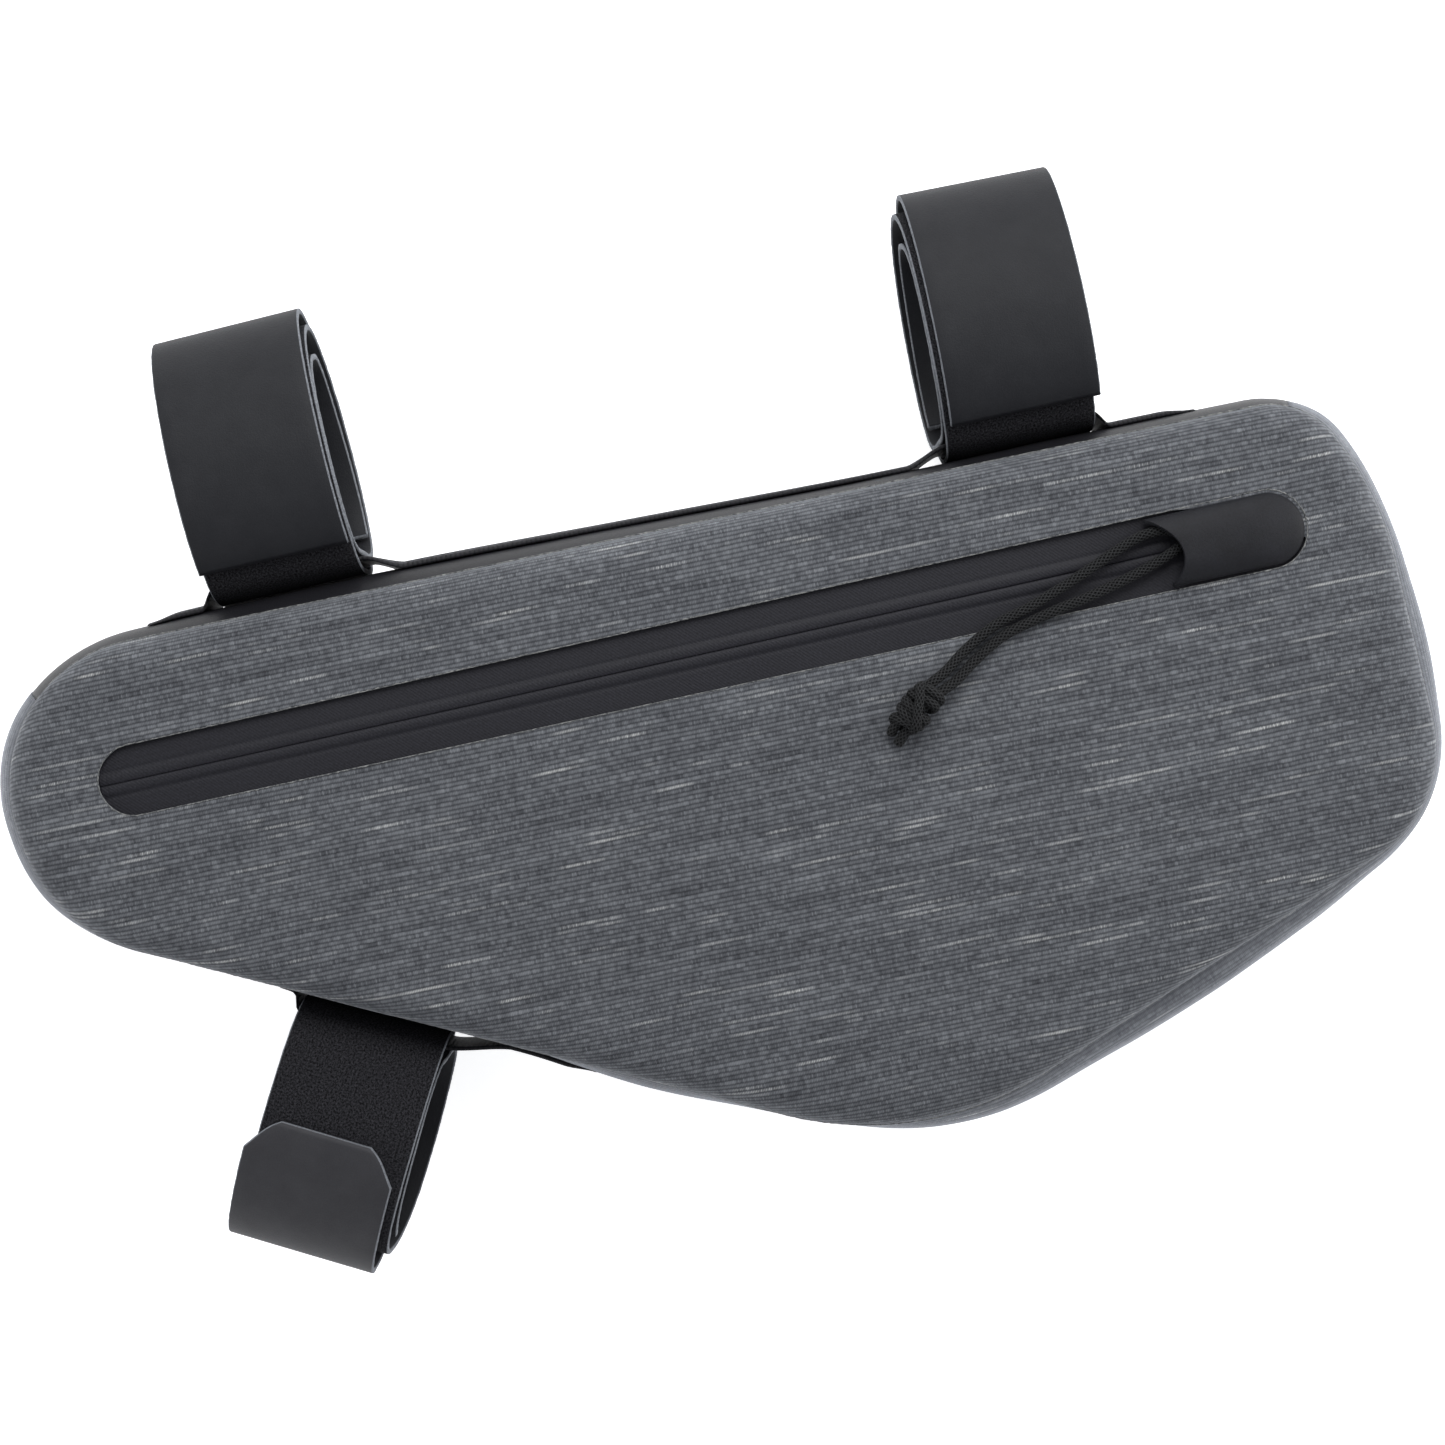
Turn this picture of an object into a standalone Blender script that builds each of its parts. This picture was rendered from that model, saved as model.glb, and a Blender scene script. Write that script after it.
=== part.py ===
"""A bicycle half-frame bag, lying face up on its back panel.

X runs along the edge that sits under the top tube, from the narrow nose to the deep tail. Y runs across the
face towards the top tube, and Z out of the face. The origin is on the back panel's flat outer face, at mid
length and mid height of the face outline. Lengths are in metres.
"""

import math

import bmesh
import bpy
from mathutils import Matrix, Vector

MM = 0.001

# Clearance between pieces that touch on the real bag
SEAT_GAP = 0.3 * MM
SEAM_GAP = 0.4 * MM

# Body
BODY_LENGTH = 374 * MM
BODY_HEIGHT = 168.5 * MM
BODY_DEPTH = 56 * MM
PANEL_WALL = 2.0 * MM
PANEL_ROLL = 8.0 * MM
FRONT_CROWN = 2.6 * MM
GUSSET_WALL = 1.6 * MM

# Corners of the face outline before rounding, anticlockwise: along as a share of the length, up and round
# as shares of the height, measured from the middle of the face.
OUTLINE_CORNERS = (
    {"name": "nose_top", "along": -0.510, "up": 0.502, "round": 0.230},
    {"name": "nose_bottom", "along": -0.490, "up": 0.084, "round": 0.261},
    {"name": "belly", "along": 0.087, "up": -0.547, "round": 0.526},
    {"name": "heel", "along": 0.504, "up": -0.189, "round": 0.203},
    {"name": "tail_side", "along": 0.499, "up": 0.310, "round": 0.499},
    {"name": "tail_top", "along": 0.462, "up": 0.493, "round": 0.126},
)
# How far the side wall swells out, by share of the way round the outline from the start of its nose top arc
WALL_SWELLS = (
    {"round": 0.010, "swell": 2.6 * MM},
    {"round": 0.052, "swell": 6.1 * MM},
    {"round": 0.088, "swell": 5.1 * MM},
    {"round": 0.120, "swell": 2.0 * MM},
    {"round": 0.235, "swell": 1.5 * MM},
    {"round": 0.275, "swell": 3.9 * MM},
    {"round": 0.325, "swell": 1.6 * MM},
    {"round": 0.355, "swell": 4.1 * MM},
    {"round": 0.400, "swell": 8.0 * MM},
    {"round": 0.443, "swell": 9.5 * MM},
    {"round": 0.482, "swell": 8.2 * MM},
    {"round": 0.520, "swell": 4.9 * MM},
    {"round": 0.548, "swell": 5.5 * MM},
    {"round": 0.575, "swell": 7.4 * MM},
    {"round": 0.612, "swell": 5.4 * MM},
    {"round": 0.638, "swell": 5.8 * MM},
    {"round": 0.662, "swell": 3.6 * MM},
    {"round": 0.700, "swell": 2.7 * MM},
    {"round": 0.765, "swell": 2.5 * MM},
    {"round": 0.850, "swell": 4.5 * MM},
    {"round": 0.920, "swell": 5.7 * MM},
    {"round": 0.975, "swell": 5.0 * MM},
)
SWELL_SQUARENESS = 3
ARC_STEP = math.radians(9)
STRAIGHT_STEP = 24 * MM
ROLL_BANDS = 4
GUSSET_BANDS = 6
# Rings of the front panel inside its rolled edge, as shares of the way out from the middle.
CROWN_RINGS = (0.82, 0.58, 0.30)
# The black top gusset ends inside the two top corners, at these shares of each corner's arc.
TOP_GUSSET_TAIL_SHARE = 0.62
TOP_GUSSET_NOSE_SHARE = 0.45

# Zip, in its own frame: along the slot from its middle, and across it
ZIP_MIDDLE = (1.8 * MM, 49.0 * MM)
ZIP_TILT = math.radians(0.45)
SLOT_LENGTH = 325.4 * MM
SLOT_NOSE_WIDTH = 18.8 * MM
SLOT_TAIL_WIDTH = 21.0 * MM
SLOT_CLEARANCE = 0.4 * MM
SLOT_CUT_HEIGHT = 24 * MM
SLOT_END_STEPS = 10
TAPE_RECESS = 0.9 * MM
TAPE_FLANGE = 4.0 * MM
TAPE_WALL = 1.1 * MM
TAPE_PARTING = 0.3 * MM
TAPE_STEP = 21 * MM

# Garage: the hood over the slider at the tail end of the slot
GARAGE_LENGTH = 40.2 * MM
GARAGE_MOUTH_SAG = 5.8 * MM
GARAGE_MOUTH_SKEW = 2.0 * MM
GARAGE_WALL = 1.0 * MM
GARAGE_SEAT = 0.9 * MM
GARAGE_HEIGHT = 5.1 * MM
GARAGE_TAIL_HEIGHT = 2.6 * MM
GARAGE_SQUARENESS = 2.6
GARAGE_ACROSS_STEPS = 12
GARAGE_ALONG_STEPS = 9

# Slider
SLIDER_LENGTH = 10.5 * MM
SLIDER_WIDTH = 8.6 * MM
SLIDER_HEIGHT = 2.3 * MM
PULL_RING_RADIUS = 3.2 * MM
PULL_RING_WIRE = 0.85 * MM
PULL_RING_OVERLAP = 1.4 * MM

# Pull cord: each strand's route, chosen by hand, as (x, y) and the height of its middle over the face
CORD_DIAMETER = 3.0 * MM
CORD_POINT_SPACING = 6.0 * MM
UPPER_STRAND = (
    (130.6, 54.7, 0.9), (125.8, 55.7, 1.0), (119.5, 55.0, 1.1), (111.0, 51.9, 1.3), (102.0, 48.2, 1.5),
    (94.0, 45.2, 1.7), (87.6, 43.0, 1.8), (78.4, 40.5, 1.8), (69.5, 35.8, 1.9), (63.0, 31.3, 3.2),
    (58.6, 29.1, 4.6),
)
LOWER_STRAND = (
    (130.6, 50.8, 0.9), (125.4, 48.5, 1.0), (119.0, 46.4, 1.1), (111.5, 44.4, 1.4), (103.5, 42.6, 1.7),
    (96.0, 41.2, 1.8), (88.4, 39.6, 1.8), (79.7, 37.2, 1.8), (71.5, 32.7, 1.9), (65.2, 28.4, 3.2),
    (60.5, 26.3, 4.6),
)
KNOT_MIDDLE = (53.5 * MM, 23.4 * MM)
KNOT_HEADING = math.radians(36.5)
KNOT_LENGTH = 12.6 * MM
KNOT_RADIUS = 5.3 * MM
KNOT_FLATNESS = 0.86
KNOT_SIDES = 14
# Three wraps of doubled cord and the tail that comes out behind them: along as a share of the knot's
# length from its middle, radius as a share of the knot's.
KNOT_SECTIONS = (
    {"along": 0.50, "radius": 0.62},
    {"along": 0.44, "radius": 0.86},
    {"along": 0.32, "radius": 0.98},
    {"along": 0.20, "radius": 0.88},
    {"along": 0.10, "radius": 1.00},
    {"along": -0.04, "radius": 0.97},
    {"along": -0.14, "radius": 0.84},
    {"along": -0.26, "radius": 0.92},
    {"along": -0.40, "radius": 0.80},
    {"along": -0.49, "radius": 0.50},
    {"along": -0.62, "radius": 0.44},
    {"along": -0.86, "radius": 0.42},
)

# Straps: each is one long band wound into a loop, outer end first
STRAP_WIDTH = 40.8 * MM
STRAP_WALL = 1.6 * MM
STRAP_LOOP_HEIGHT = 73.5 * MM
STRAP_LOOP_HALF_DEPTH = 27 * MM
LAYER_GAP = 0.35 * MM
STRAP_STEPS_PER_TURN = 44
LOOP_MIDDLE = 0.45
TAB_CHAMFER_LENGTH = 9 * MM
TAB_CHAMFER_WIDTH = 8 * MM

# Daisy strips: the bands sewn over the gusset that the straps are threaded under
STRIP_WIDTH = 24 * MM
STRIP_WALL = 1.2 * MM
STRIP_MARGIN = 1.0 * MM
STRIP_CLEARANCE = 0.7 * MM
STRIP_RAMP = 9 * MM
STRIP_ACROSS_STEPS = 4
STRIP_STEP = 20 * MM
STRIP_RAMP_STEPS = 5

# Sides that carry straps, as places in the outline's list of arcs and runs
TOP_SIDE = 11
DOWN_SIDE = 3

# Windings: turns round the loop from its foot, up the face side first. layers is how many strap walls lie
# outside, slack how far the loop shrinks towards its middle, over the share of the step over the strip, and
# aside how far the turn has slipped along its side.
TOP_WINDING = (
    {"turn": 0.165, "layers": 0, "slack": 0.0, "over": 0, "aside": -1.5 * MM},
    {"turn": 1.08, "layers": 0, "slack": 0.0, "over": 0, "aside": 0.0},
    {"turn": 1.15, "layers": 1, "slack": 0.0, "over": 0, "aside": 0.1 * MM},
    {"turn": 1.33, "layers": 1, "slack": 0.0, "over": 0, "aside": 0.4 * MM},
    {"turn": 1.50, "layers": 1, "slack": 0.08, "over": 0, "aside": 1.2 * MM},
    {"turn": 1.70, "layers": 1, "slack": 0.01, "over": 0, "aside": 1.8 * MM},
    {"turn": 1.86, "layers": 1, "slack": 0.01, "over": 0, "aside": 1.5 * MM},
    {"turn": 2.00, "layers": 0, "slack": 0.0, "over": 1, "aside": 0.5 * MM},
    {"turn": 2.14, "layers": 2, "slack": 0.0, "over": 0, "aside": 0.5 * MM},
    {"turn": 2.30, "layers": 2, "slack": 0.0, "over": 0, "aside": 0.5 * MM},
    {"turn": 2.48, "layers": 2, "slack": 0.26, "over": 0, "aside": 0.8 * MM},
    {"turn": 2.66, "layers": 2, "slack": 0.26, "over": 0, "aside": 0.8 * MM},
    {"turn": 2.86, "layers": 2, "slack": 0.05, "over": 0, "aside": 0.8 * MM},
)
DOWN_WINDING = (
    {"turn": 0.262, "layers": 0, "slack": 0.0, "over": 0, "aside": -2.6 * MM},
    {"turn": 1.08, "layers": 0, "slack": 0.0, "over": 0, "aside": 0.0},
    {"turn": 1.24, "layers": 1, "slack": 0.0, "over": 0, "aside": 0.0},
    {"turn": 1.32, "layers": 1, "slack": 0.0, "over": 0, "aside": 0.0},
    {"turn": 1.50, "layers": 1, "slack": 0.13, "over": 0, "aside": 0.8 * MM},
    {"turn": 1.68, "layers": 1, "slack": 0.0, "over": 0, "aside": 2.4 * MM},
    {"turn": 1.86, "layers": 1, "slack": 0.0, "over": 0, "aside": 1.6 * MM},
    {"turn": 2.00, "layers": 0, "slack": 0.10, "over": 1, "aside": 0.4 * MM},
    {"turn": 2.16, "layers": 2, "slack": 0.03, "over": 0, "aside": 0.4 * MM},
    {"turn": 2.30, "layers": 2, "slack": 0.01, "over": 0, "aside": 0.8 * MM},
    {"turn": 2.44, "layers": 2, "slack": 0.20, "over": 0, "aside": 1.2 * MM},
)
# along is the strap's middle as a share of its straight side, lean its turn about Z
# height and half_depth are shares of the loop's height and half depth, aside multiplies the winding's own
# before and after are the daisy strip's ramps on either side, in strip ramps
STRAPS = (
    {"name": "strap_top_nose", "side": TOP_SIDE, "along": 0.8563, "lean": math.radians(2.3), "aside": -0.5,
     "height": 1.0, "half_depth": 1.0, "squareness": 1.35, "winding": TOP_WINDING, "chamfered": False,
     "before": 1.0, "after": 1.7},
    {"name": "strap_top_tail", "side": TOP_SIDE, "along": 0.2006, "lean": math.radians(-0.7), "aside": 1.0,
     "height": 1.0, "half_depth": 1.0, "squareness": 1.35, "winding": TOP_WINDING, "chamfered": False,
     "before": 2.6, "after": 1.0},
    {"name": "strap_down_tube", "side": DOWN_SIDE, "along": 0.3662, "lean": math.radians(-2.2), "aside": 1.0,
     "height": 0.939, "half_depth": 0.926, "squareness": 1.25, "winding": DOWN_WINDING, "chamfered": True,
     "before": 0.6, "after": 3.6},
)
# from and to are the strip's ends as shares of its straight side
STRIPS = (
    {"name": "top_daisy_strip", "side": TOP_SIDE, "from": 0.0457, "to": 0.9850},
    {"name": "down_daisy_strip", "side": DOWN_SIDE, "from": 0.2140, "to": 0.7099},
)

SLUB_CLOTH = {"name": "slub_cloth", "color": (0.105, 0.109, 0.122), "roughness": 0.72}
COATED_BLACK = {"name": "coated_black", "color": (0.022, 0.022, 0.026), "roughness": 0.62}
ZIP_FILM = {"name": "zip_film", "color": (0.028, 0.028, 0.034), "roughness": 0.58}
STRAP_RUBBER = {"name": "strap_rubber", "color": (0.026, 0.027, 0.031), "roughness": 0.70}
CORD_BLACK = {"name": "cord_black", "color": (0.018, 0.018, 0.018), "roughness": 0.85}
SLIDER_METAL = {"name": "slider_metal", "color": (0.05, 0.05, 0.055), "roughness": 0.40, "metallic": 0.8}


def clear_scene():
    for item in list(bpy.data.objects):
        bpy.data.objects.remove(item, do_unlink=True)


def collection(name):
    made = bpy.data.collections.new(name)
    bpy.context.scene.collection.children.link(made)
    return made


def material(finish):
    made = bpy.data.materials.get(finish["name"])
    if made is None:
        made = bpy.data.materials.new(finish["name"])
        made.use_nodes = True
        shader = made.node_tree.nodes["Principled BSDF"]
        shader.inputs["Base Color"].default_value = (*finish["color"], 1.0)
        shader.inputs["Roughness"].default_value = finish["roughness"]
        shader.inputs["Metallic"].default_value = finish.get("metallic", 0.0)
        made.diffuse_color = (*finish["color"], 1.0)
    return made


def add_object(name, data, finish, group):
    made = bpy.data.objects.new(name, data)
    group.objects.link(made)
    if finish is not None:
        data.materials.append(material(finish))
    return made


def mesh_from(name, build):
    """A mesh filled by build(bm), with its faces turned outwards."""
    bm = bmesh.new()
    build(bm)
    bmesh.ops.recalc_face_normals(bm, faces=bm.faces)
    mesh = bpy.data.meshes.new(name)
    bm.to_mesh(mesh)
    bm.free()
    return mesh


def smoothstep(share):
    share = min(1.0, max(0.0, share))
    return share * share * (3 - 2 * share)


def eased(stops, values, at):
    """A smooth curve through the values that never swings past them."""
    count = len(stops)
    slopes = [(values[i + 1] - values[i]) / (stops[i + 1] - stops[i]) for i in range(count - 1)]
    tangents = [0.0] * count
    for i in range(1, count - 1):
        before, after = slopes[i - 1], slopes[i]
        if before * after > 0:
            tangents[i] = 2 * before * after / (before + after)
    i = 0
    while i < count - 2 and at > stops[i + 1]:
        i += 1
    span = stops[i + 1] - stops[i]
    t = min(1.0, max(0.0, (at - stops[i]) / span))
    rise = values[i] + (values[i + 1] - values[i]) * (3 * t**2 - 2 * t**3)
    return rise + span * (tangents[i] * (t**3 - 2 * t**2 + t) + tangents[i + 1] * (t**3 - t**2))


# Face outline

def outline_segments():
    """The face outline's corner arcs and straight runs, anticlockwise, each with its start and length."""
    corners = [Vector((c["along"] * BODY_LENGTH, c["up"] * BODY_HEIGHT)) for c in OUTLINE_CORNERS]
    count = len(corners)
    arcs = []
    for i, corner in enumerate(corners):
        before = (corner - corners[i - 1]).normalized()
        after = (corners[(i + 1) % count] - corner).normalized()
        turn = math.acos(max(-1.0, min(1.0, before.dot(after))))
        radius = OUTLINE_CORNERS[i]["round"] * BODY_HEIGHT
        reach = radius * math.tan(turn / 2)
        start = corner - before * reach
        arcs.append({
            "start": start,
            "end": corner + after * reach,
            "centre": start + radius * Vector((-before.y, before.x)),
            "radius": radius,
            "from_angle": math.atan2(-before.x, before.y),
            "turn": turn,
        })
    segments = []
    at = 0.0
    for i, arc in enumerate(arcs):
        length = arc["radius"] * arc["turn"]
        segments.append({"arc": arc, "at": at, "length": length})
        at += length
        run = arcs[(i + 1) % count]["start"] - arc["end"]
        segments.append({"from": arc["end"], "run": run, "at": at, "length": run.length})
        at += run.length
    return segments, at


SEGMENTS, OUTLINE_LENGTH = outline_segments()


def corner_at(index, share):
    """The distance round the outline of a point on a corner's arc."""
    segment = SEGMENTS[2 * index]
    return segment["at"] + share * segment["length"]


def swell_at(at):
    """How far the side wall swells out at a distance round the outline."""
    first = WALL_SWELLS[0]["round"]
    stops = [row["round"] for row in WALL_SWELLS] + [first + 1]
    swells = [row["swell"] for row in WALL_SWELLS] + [WALL_SWELLS[0]["swell"]]
    return eased(stops, swells, first + (at / OUTLINE_LENGTH - first) % 1)


def outline_at(at):
    """The outline's point and outward direction at a distance round it."""
    at %= OUTLINE_LENGTH
    for segment in SEGMENTS:
        along = at - segment["at"]
        if along <= segment["length"] + 1e-12:
            break
    if "arc" in segment:
        arc = segment["arc"]
        angle = arc["from_angle"] + along / arc["radius"]
        # from_angle is the direction from the arc's centre to its start
        outward = Vector((math.cos(angle), math.sin(angle)))
        return arc["centre"] + arc["radius"] * outward, outward
    heading = segment["run"].normalized()
    return segment["from"] + heading * along, Vector((heading.y, -heading.x))


def outline_stops(start, end):
    """Distances round the outline from start to end, close enough together to follow its arcs."""
    stops = [start]
    for lap in (0, 1):
        for segment in SEGMENTS:
            if "arc" in segment:
                steps = max(1, round(segment["arc"]["turn"] / ARC_STEP))
            else:
                steps = max(1, round(segment["length"] / STRAIGHT_STEP))
            for k in range(steps):
                stop = lap * OUTLINE_LENGTH + segment["at"] + segment["length"] * k / steps
                if start + 2 * MM < stop < end - 2 * MM:
                    stops.append(stop)
    stops.append(end)
    return stops


def face_height(x, y):
    """Height of the front panel's outer face inside its rolled edge."""
    along = min(1.0, abs(2 * x / BODY_LENGTH))
    up = min(1.0, abs(2 * y / BODY_HEIGHT))
    return BODY_DEPTH + FRONT_CROWN * (1 - along**2) * (1 - up**2)


# Body

def add_rings(bm, rings):
    """Joins rings of points with faces, and returns the last ring's vertices."""
    last = None
    for ring in rings:
        verts = [bm.verts.new(point) for point in ring]
        if last is not None:
            for k in range(len(verts)):
                after = (k + 1) % len(verts)
                bm.faces.new((last[k], last[after], verts[after], verts[k]))
        last = verts
    return last


def roll_ring(stops, share, height, away):
    """One ring of a panel's rolled edge: share 0 is at the seam, 1 where the edge meets the face."""
    angle = share * math.pi / 2
    inset = PANEL_ROLL * (1 - math.cos(angle))
    drop = PANEL_ROLL * (1 - math.sin(angle))
    ring = []
    for stop in stops:
        point, outward = outline_at(stop)
        point = point - outward * inset
        ring.append(Vector((point.x, point.y, height(point.x, point.y) - away * drop)))
    return ring


def solidify(item, wall):
    shell = item.modifiers.new("wall", "SOLIDIFY")
    shell.thickness = wall
    shell.offset = -1
    shell.use_even_offset = True


def make_front_panel(parts, cutters):
    stops = outline_stops(0.0, OUTLINE_LENGTH)[:-1]
    rings = [roll_ring(stops, k / ROLL_BANDS, face_height, 1) for k in range(ROLL_BANDS + 1)]
    middle = sum(rings[-1], Vector()) / len(stops)
    for share in CROWN_RINGS:
        ring = []
        for point in rings[ROLL_BANDS]:
            x = middle.x + share * (point.x - middle.x)
            y = middle.y + share * (point.y - middle.y)
            ring.append(Vector((x, y, face_height(x, y))))
        rings.append(ring)

    def build(bm):
        last = add_rings(bm, rings)
        tip = bm.verts.new((middle.x, middle.y, face_height(middle.x, middle.y)))
        for k, vert in enumerate(last):
            bm.faces.new((vert, last[(k + 1) % len(last)], tip))

    mesh = mesh_from("front_panel", build)
    if mesh.polygons[-1].normal.z < 0:
        mesh.flip_normals()
    panel = add_object("front_panel", mesh, SLUB_CLOTH, parts)
    solidify(panel, PANEL_WALL)
    slot = make_slot_cutter(cutters)
    cut = panel.modifiers.new("zip_slot", "BOOLEAN")
    cut.operation = "DIFFERENCE"
    cut.object = slot


def make_back_panel(parts):
    stops = outline_stops(0.0, OUTLINE_LENGTH)[:-1]

    def flat(_x, _y):
        return 0.0

    rings = [roll_ring(stops, k / ROLL_BANDS, flat, -1) for k in range(ROLL_BANDS + 1)]

    def build(bm):
        bm.faces.new(add_rings(bm, rings))

    mesh = mesh_from("back_panel", build)
    if mesh.polygons[-1].normal.z > 0:
        mesh.flip_normals()
    solidify(add_object("back_panel", mesh, SLUB_CLOTH, parts), PANEL_WALL)


def gusset_rise(depth):
    """How much of the swell the side wall has at a height over the floor, from 0 at the seams to 1."""
    low = PANEL_ROLL + SEAM_GAP
    high = BODY_DEPTH - PANEL_ROLL - SEAM_GAP
    share = (depth - low) / (high - low)
    return max(0.0, 1 - abs(2 * share - 1) ** SWELL_SQUARENESS)


def gusset_point(at, depth):
    point, outward = outline_at(at)
    point = point + outward * swell_at(at) * gusset_rise(depth)
    return Vector((point.x, point.y, depth))


def make_gusset(name, start, end, finish, parts):
    low = PANEL_ROLL + SEAM_GAP
    high = BODY_DEPTH - PANEL_ROLL - SEAM_GAP
    depths = [low + (high - low) * k / GUSSET_BANDS for k in range(GUSSET_BANDS + 1)]
    stops = outline_stops(start, end)

    def build(bm):
        columns = [[bm.verts.new(gusset_point(stop, depth)) for depth in depths] for stop in stops]
        for here, there in zip(columns, columns[1:]):
            for k in range(GUSSET_BANDS):
                bm.faces.new((here[k], there[k], there[k + 1], here[k + 1]))

    mesh = mesh_from(name, build)
    first = mesh.polygons[0]
    _, outward = outline_at(start)
    if first.normal.xy.dot(outward) < 0:
        mesh.flip_normals()
    solidify(add_object(name, mesh, finish, parts), GUSSET_WALL)


def make_gussets(parts):
    tail = corner_at(5, TOP_GUSSET_TAIL_SHARE)
    nose = OUTLINE_LENGTH + corner_at(0, TOP_GUSSET_NOSE_SHARE)
    make_gusset("gusset_top", tail, nose, COATED_BLACK, parts)
    make_gusset("gusset_wrap", nose + SEAM_GAP - OUTLINE_LENGTH, tail - SEAM_GAP, SLUB_CLOTH, parts)


# Zip

def slot_half_width(along, margin=0.0):
    """Half the slot's width at a distance along it from its middle, with its round ends."""
    nose_radius = SLOT_NOSE_WIDTH / 2
    tail_radius = SLOT_TAIL_WIDTH / 2
    nose_centre = -SLOT_LENGTH / 2 + nose_radius
    tail_centre = SLOT_LENGTH / 2 - tail_radius
    if along < nose_centre:
        return math.sqrt(max(0.0, (nose_radius + margin) ** 2 - (along - nose_centre) ** 2))
    if along > tail_centre:
        return math.sqrt(max(0.0, (tail_radius + margin) ** 2 - (along - tail_centre) ** 2))
    share = (along - nose_centre) / (tail_centre - nose_centre)
    return nose_radius + margin + share * (tail_radius - nose_radius)


def slot_stations(margin):
    """Distances along the slot, closer together round its two ends."""
    nose_radius = SLOT_NOSE_WIDTH / 2
    tail_radius = SLOT_TAIL_WIDTH / 2
    nose_centre = -SLOT_LENGTH / 2 + nose_radius
    tail_centre = SLOT_LENGTH / 2 - tail_radius
    quarter = [math.pi / 2 * k / SLOT_END_STEPS for k in range(1, SLOT_END_STEPS + 1)]
    nose_end = [nose_centre - (nose_radius + margin) * math.cos(angle) for angle in quarter]
    tail_end = [tail_centre + (tail_radius + margin) * math.cos(angle) for angle in reversed(quarter)]
    steps = round((tail_centre - nose_centre) / TAPE_STEP)
    between = [nose_centre + (tail_centre - nose_centre) * k / steps for k in range(1, steps)]
    return nose_end + between + tail_end


def on_face(along, across, height):
    """A point in the zip's own frame, at a height over the face there."""
    x = ZIP_MIDDLE[0] + along * math.cos(ZIP_TILT) - across * math.sin(ZIP_TILT)
    y = ZIP_MIDDLE[1] + along * math.sin(ZIP_TILT) + across * math.cos(ZIP_TILT)
    return Vector((x, y, face_height(x, y) + height))


def make_slot_cutter(cutters):
    stations = slot_stations(0.0)
    upper = [on_face(along, slot_half_width(along), 0.0) for along in stations]
    lower = [on_face(along, -slot_half_width(along), 0.0) for along in reversed(stations)]
    rim = upper + lower

    def build(bm):
        for side in (-1, 1):
            for point in rim:
                bm.verts.new((point.x, point.y, BODY_DEPTH + side * SLOT_CUT_HEIGHT / 2))
        bm.verts.ensure_lookup_table()
        count = len(rim)
        for k in range(count):
            after = (k + 1) % count
            bm.faces.new([bm.verts[i] for i in (k, after, count + after, count + k)])
        bm.faces.new(bm.verts[:count])
        bm.faces.new(bm.verts[count:])

    slot = add_object("zip_slot_cutter", mesh_from("zip_slot_cutter", build), None, cutters)
    slot.hide_render = True
    slot.display_type = "WIRE"
    return slot


def loft(name, sections, finish, parts):
    """A closed solid through sections of equal point counts, capped at both ends."""

    def build(bm):
        last = None
        for section in sections:
            verts = [bm.verts.new(point) for point in section]
            if last is None:
                bm.faces.new(list(reversed(verts)))
            else:
                for k in range(len(verts)):
                    after = (k + 1) % len(verts)
                    bm.faces.new((last[k], last[after], verts[after], verts[k]))
            last = verts
        bm.faces.new(last)

    return add_object(name, mesh_from(name, build), finish, parts)


def make_zip_tape(name, side, parts):
    """Half of the zip: a band that stands up in the slot, on a flange that is bonded under the panel."""
    band_top = -TAPE_RECESS
    flange_top = -PANEL_WALL - SEAT_GAP
    bottom = flange_top - TAPE_WALL
    parting = TAPE_PARTING / 2
    sections = []
    for along in slot_stations(TAPE_FLANGE):
        flange = max(slot_half_width(along, TAPE_FLANGE), 3 * parting)
        band = slot_half_width(along, -SLOT_CLEARANCE)
        ends_before = min(
            along + SLOT_LENGTH / 2 - SLOT_CLEARANCE,
            SLOT_LENGTH / 2 - SLOT_CLEARANCE - along,
        )
        top = band_top if ends_before > 0 else flange_top + 0.2 * MM
        band = max(band, 2 * parting) if ends_before > 0 else 2 * parting
        corners = (
            (parting, top), (band, top), (band, flange_top), (flange, flange_top),
            (flange, bottom), (parting, bottom),
        )
        sections.append([on_face(along, side * across, height) for across, height in corners])
    loft(name, sections, ZIP_FILM, parts)


def garage_mouth():
    return SLOT_LENGTH / 2 - GARAGE_LENGTH


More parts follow.
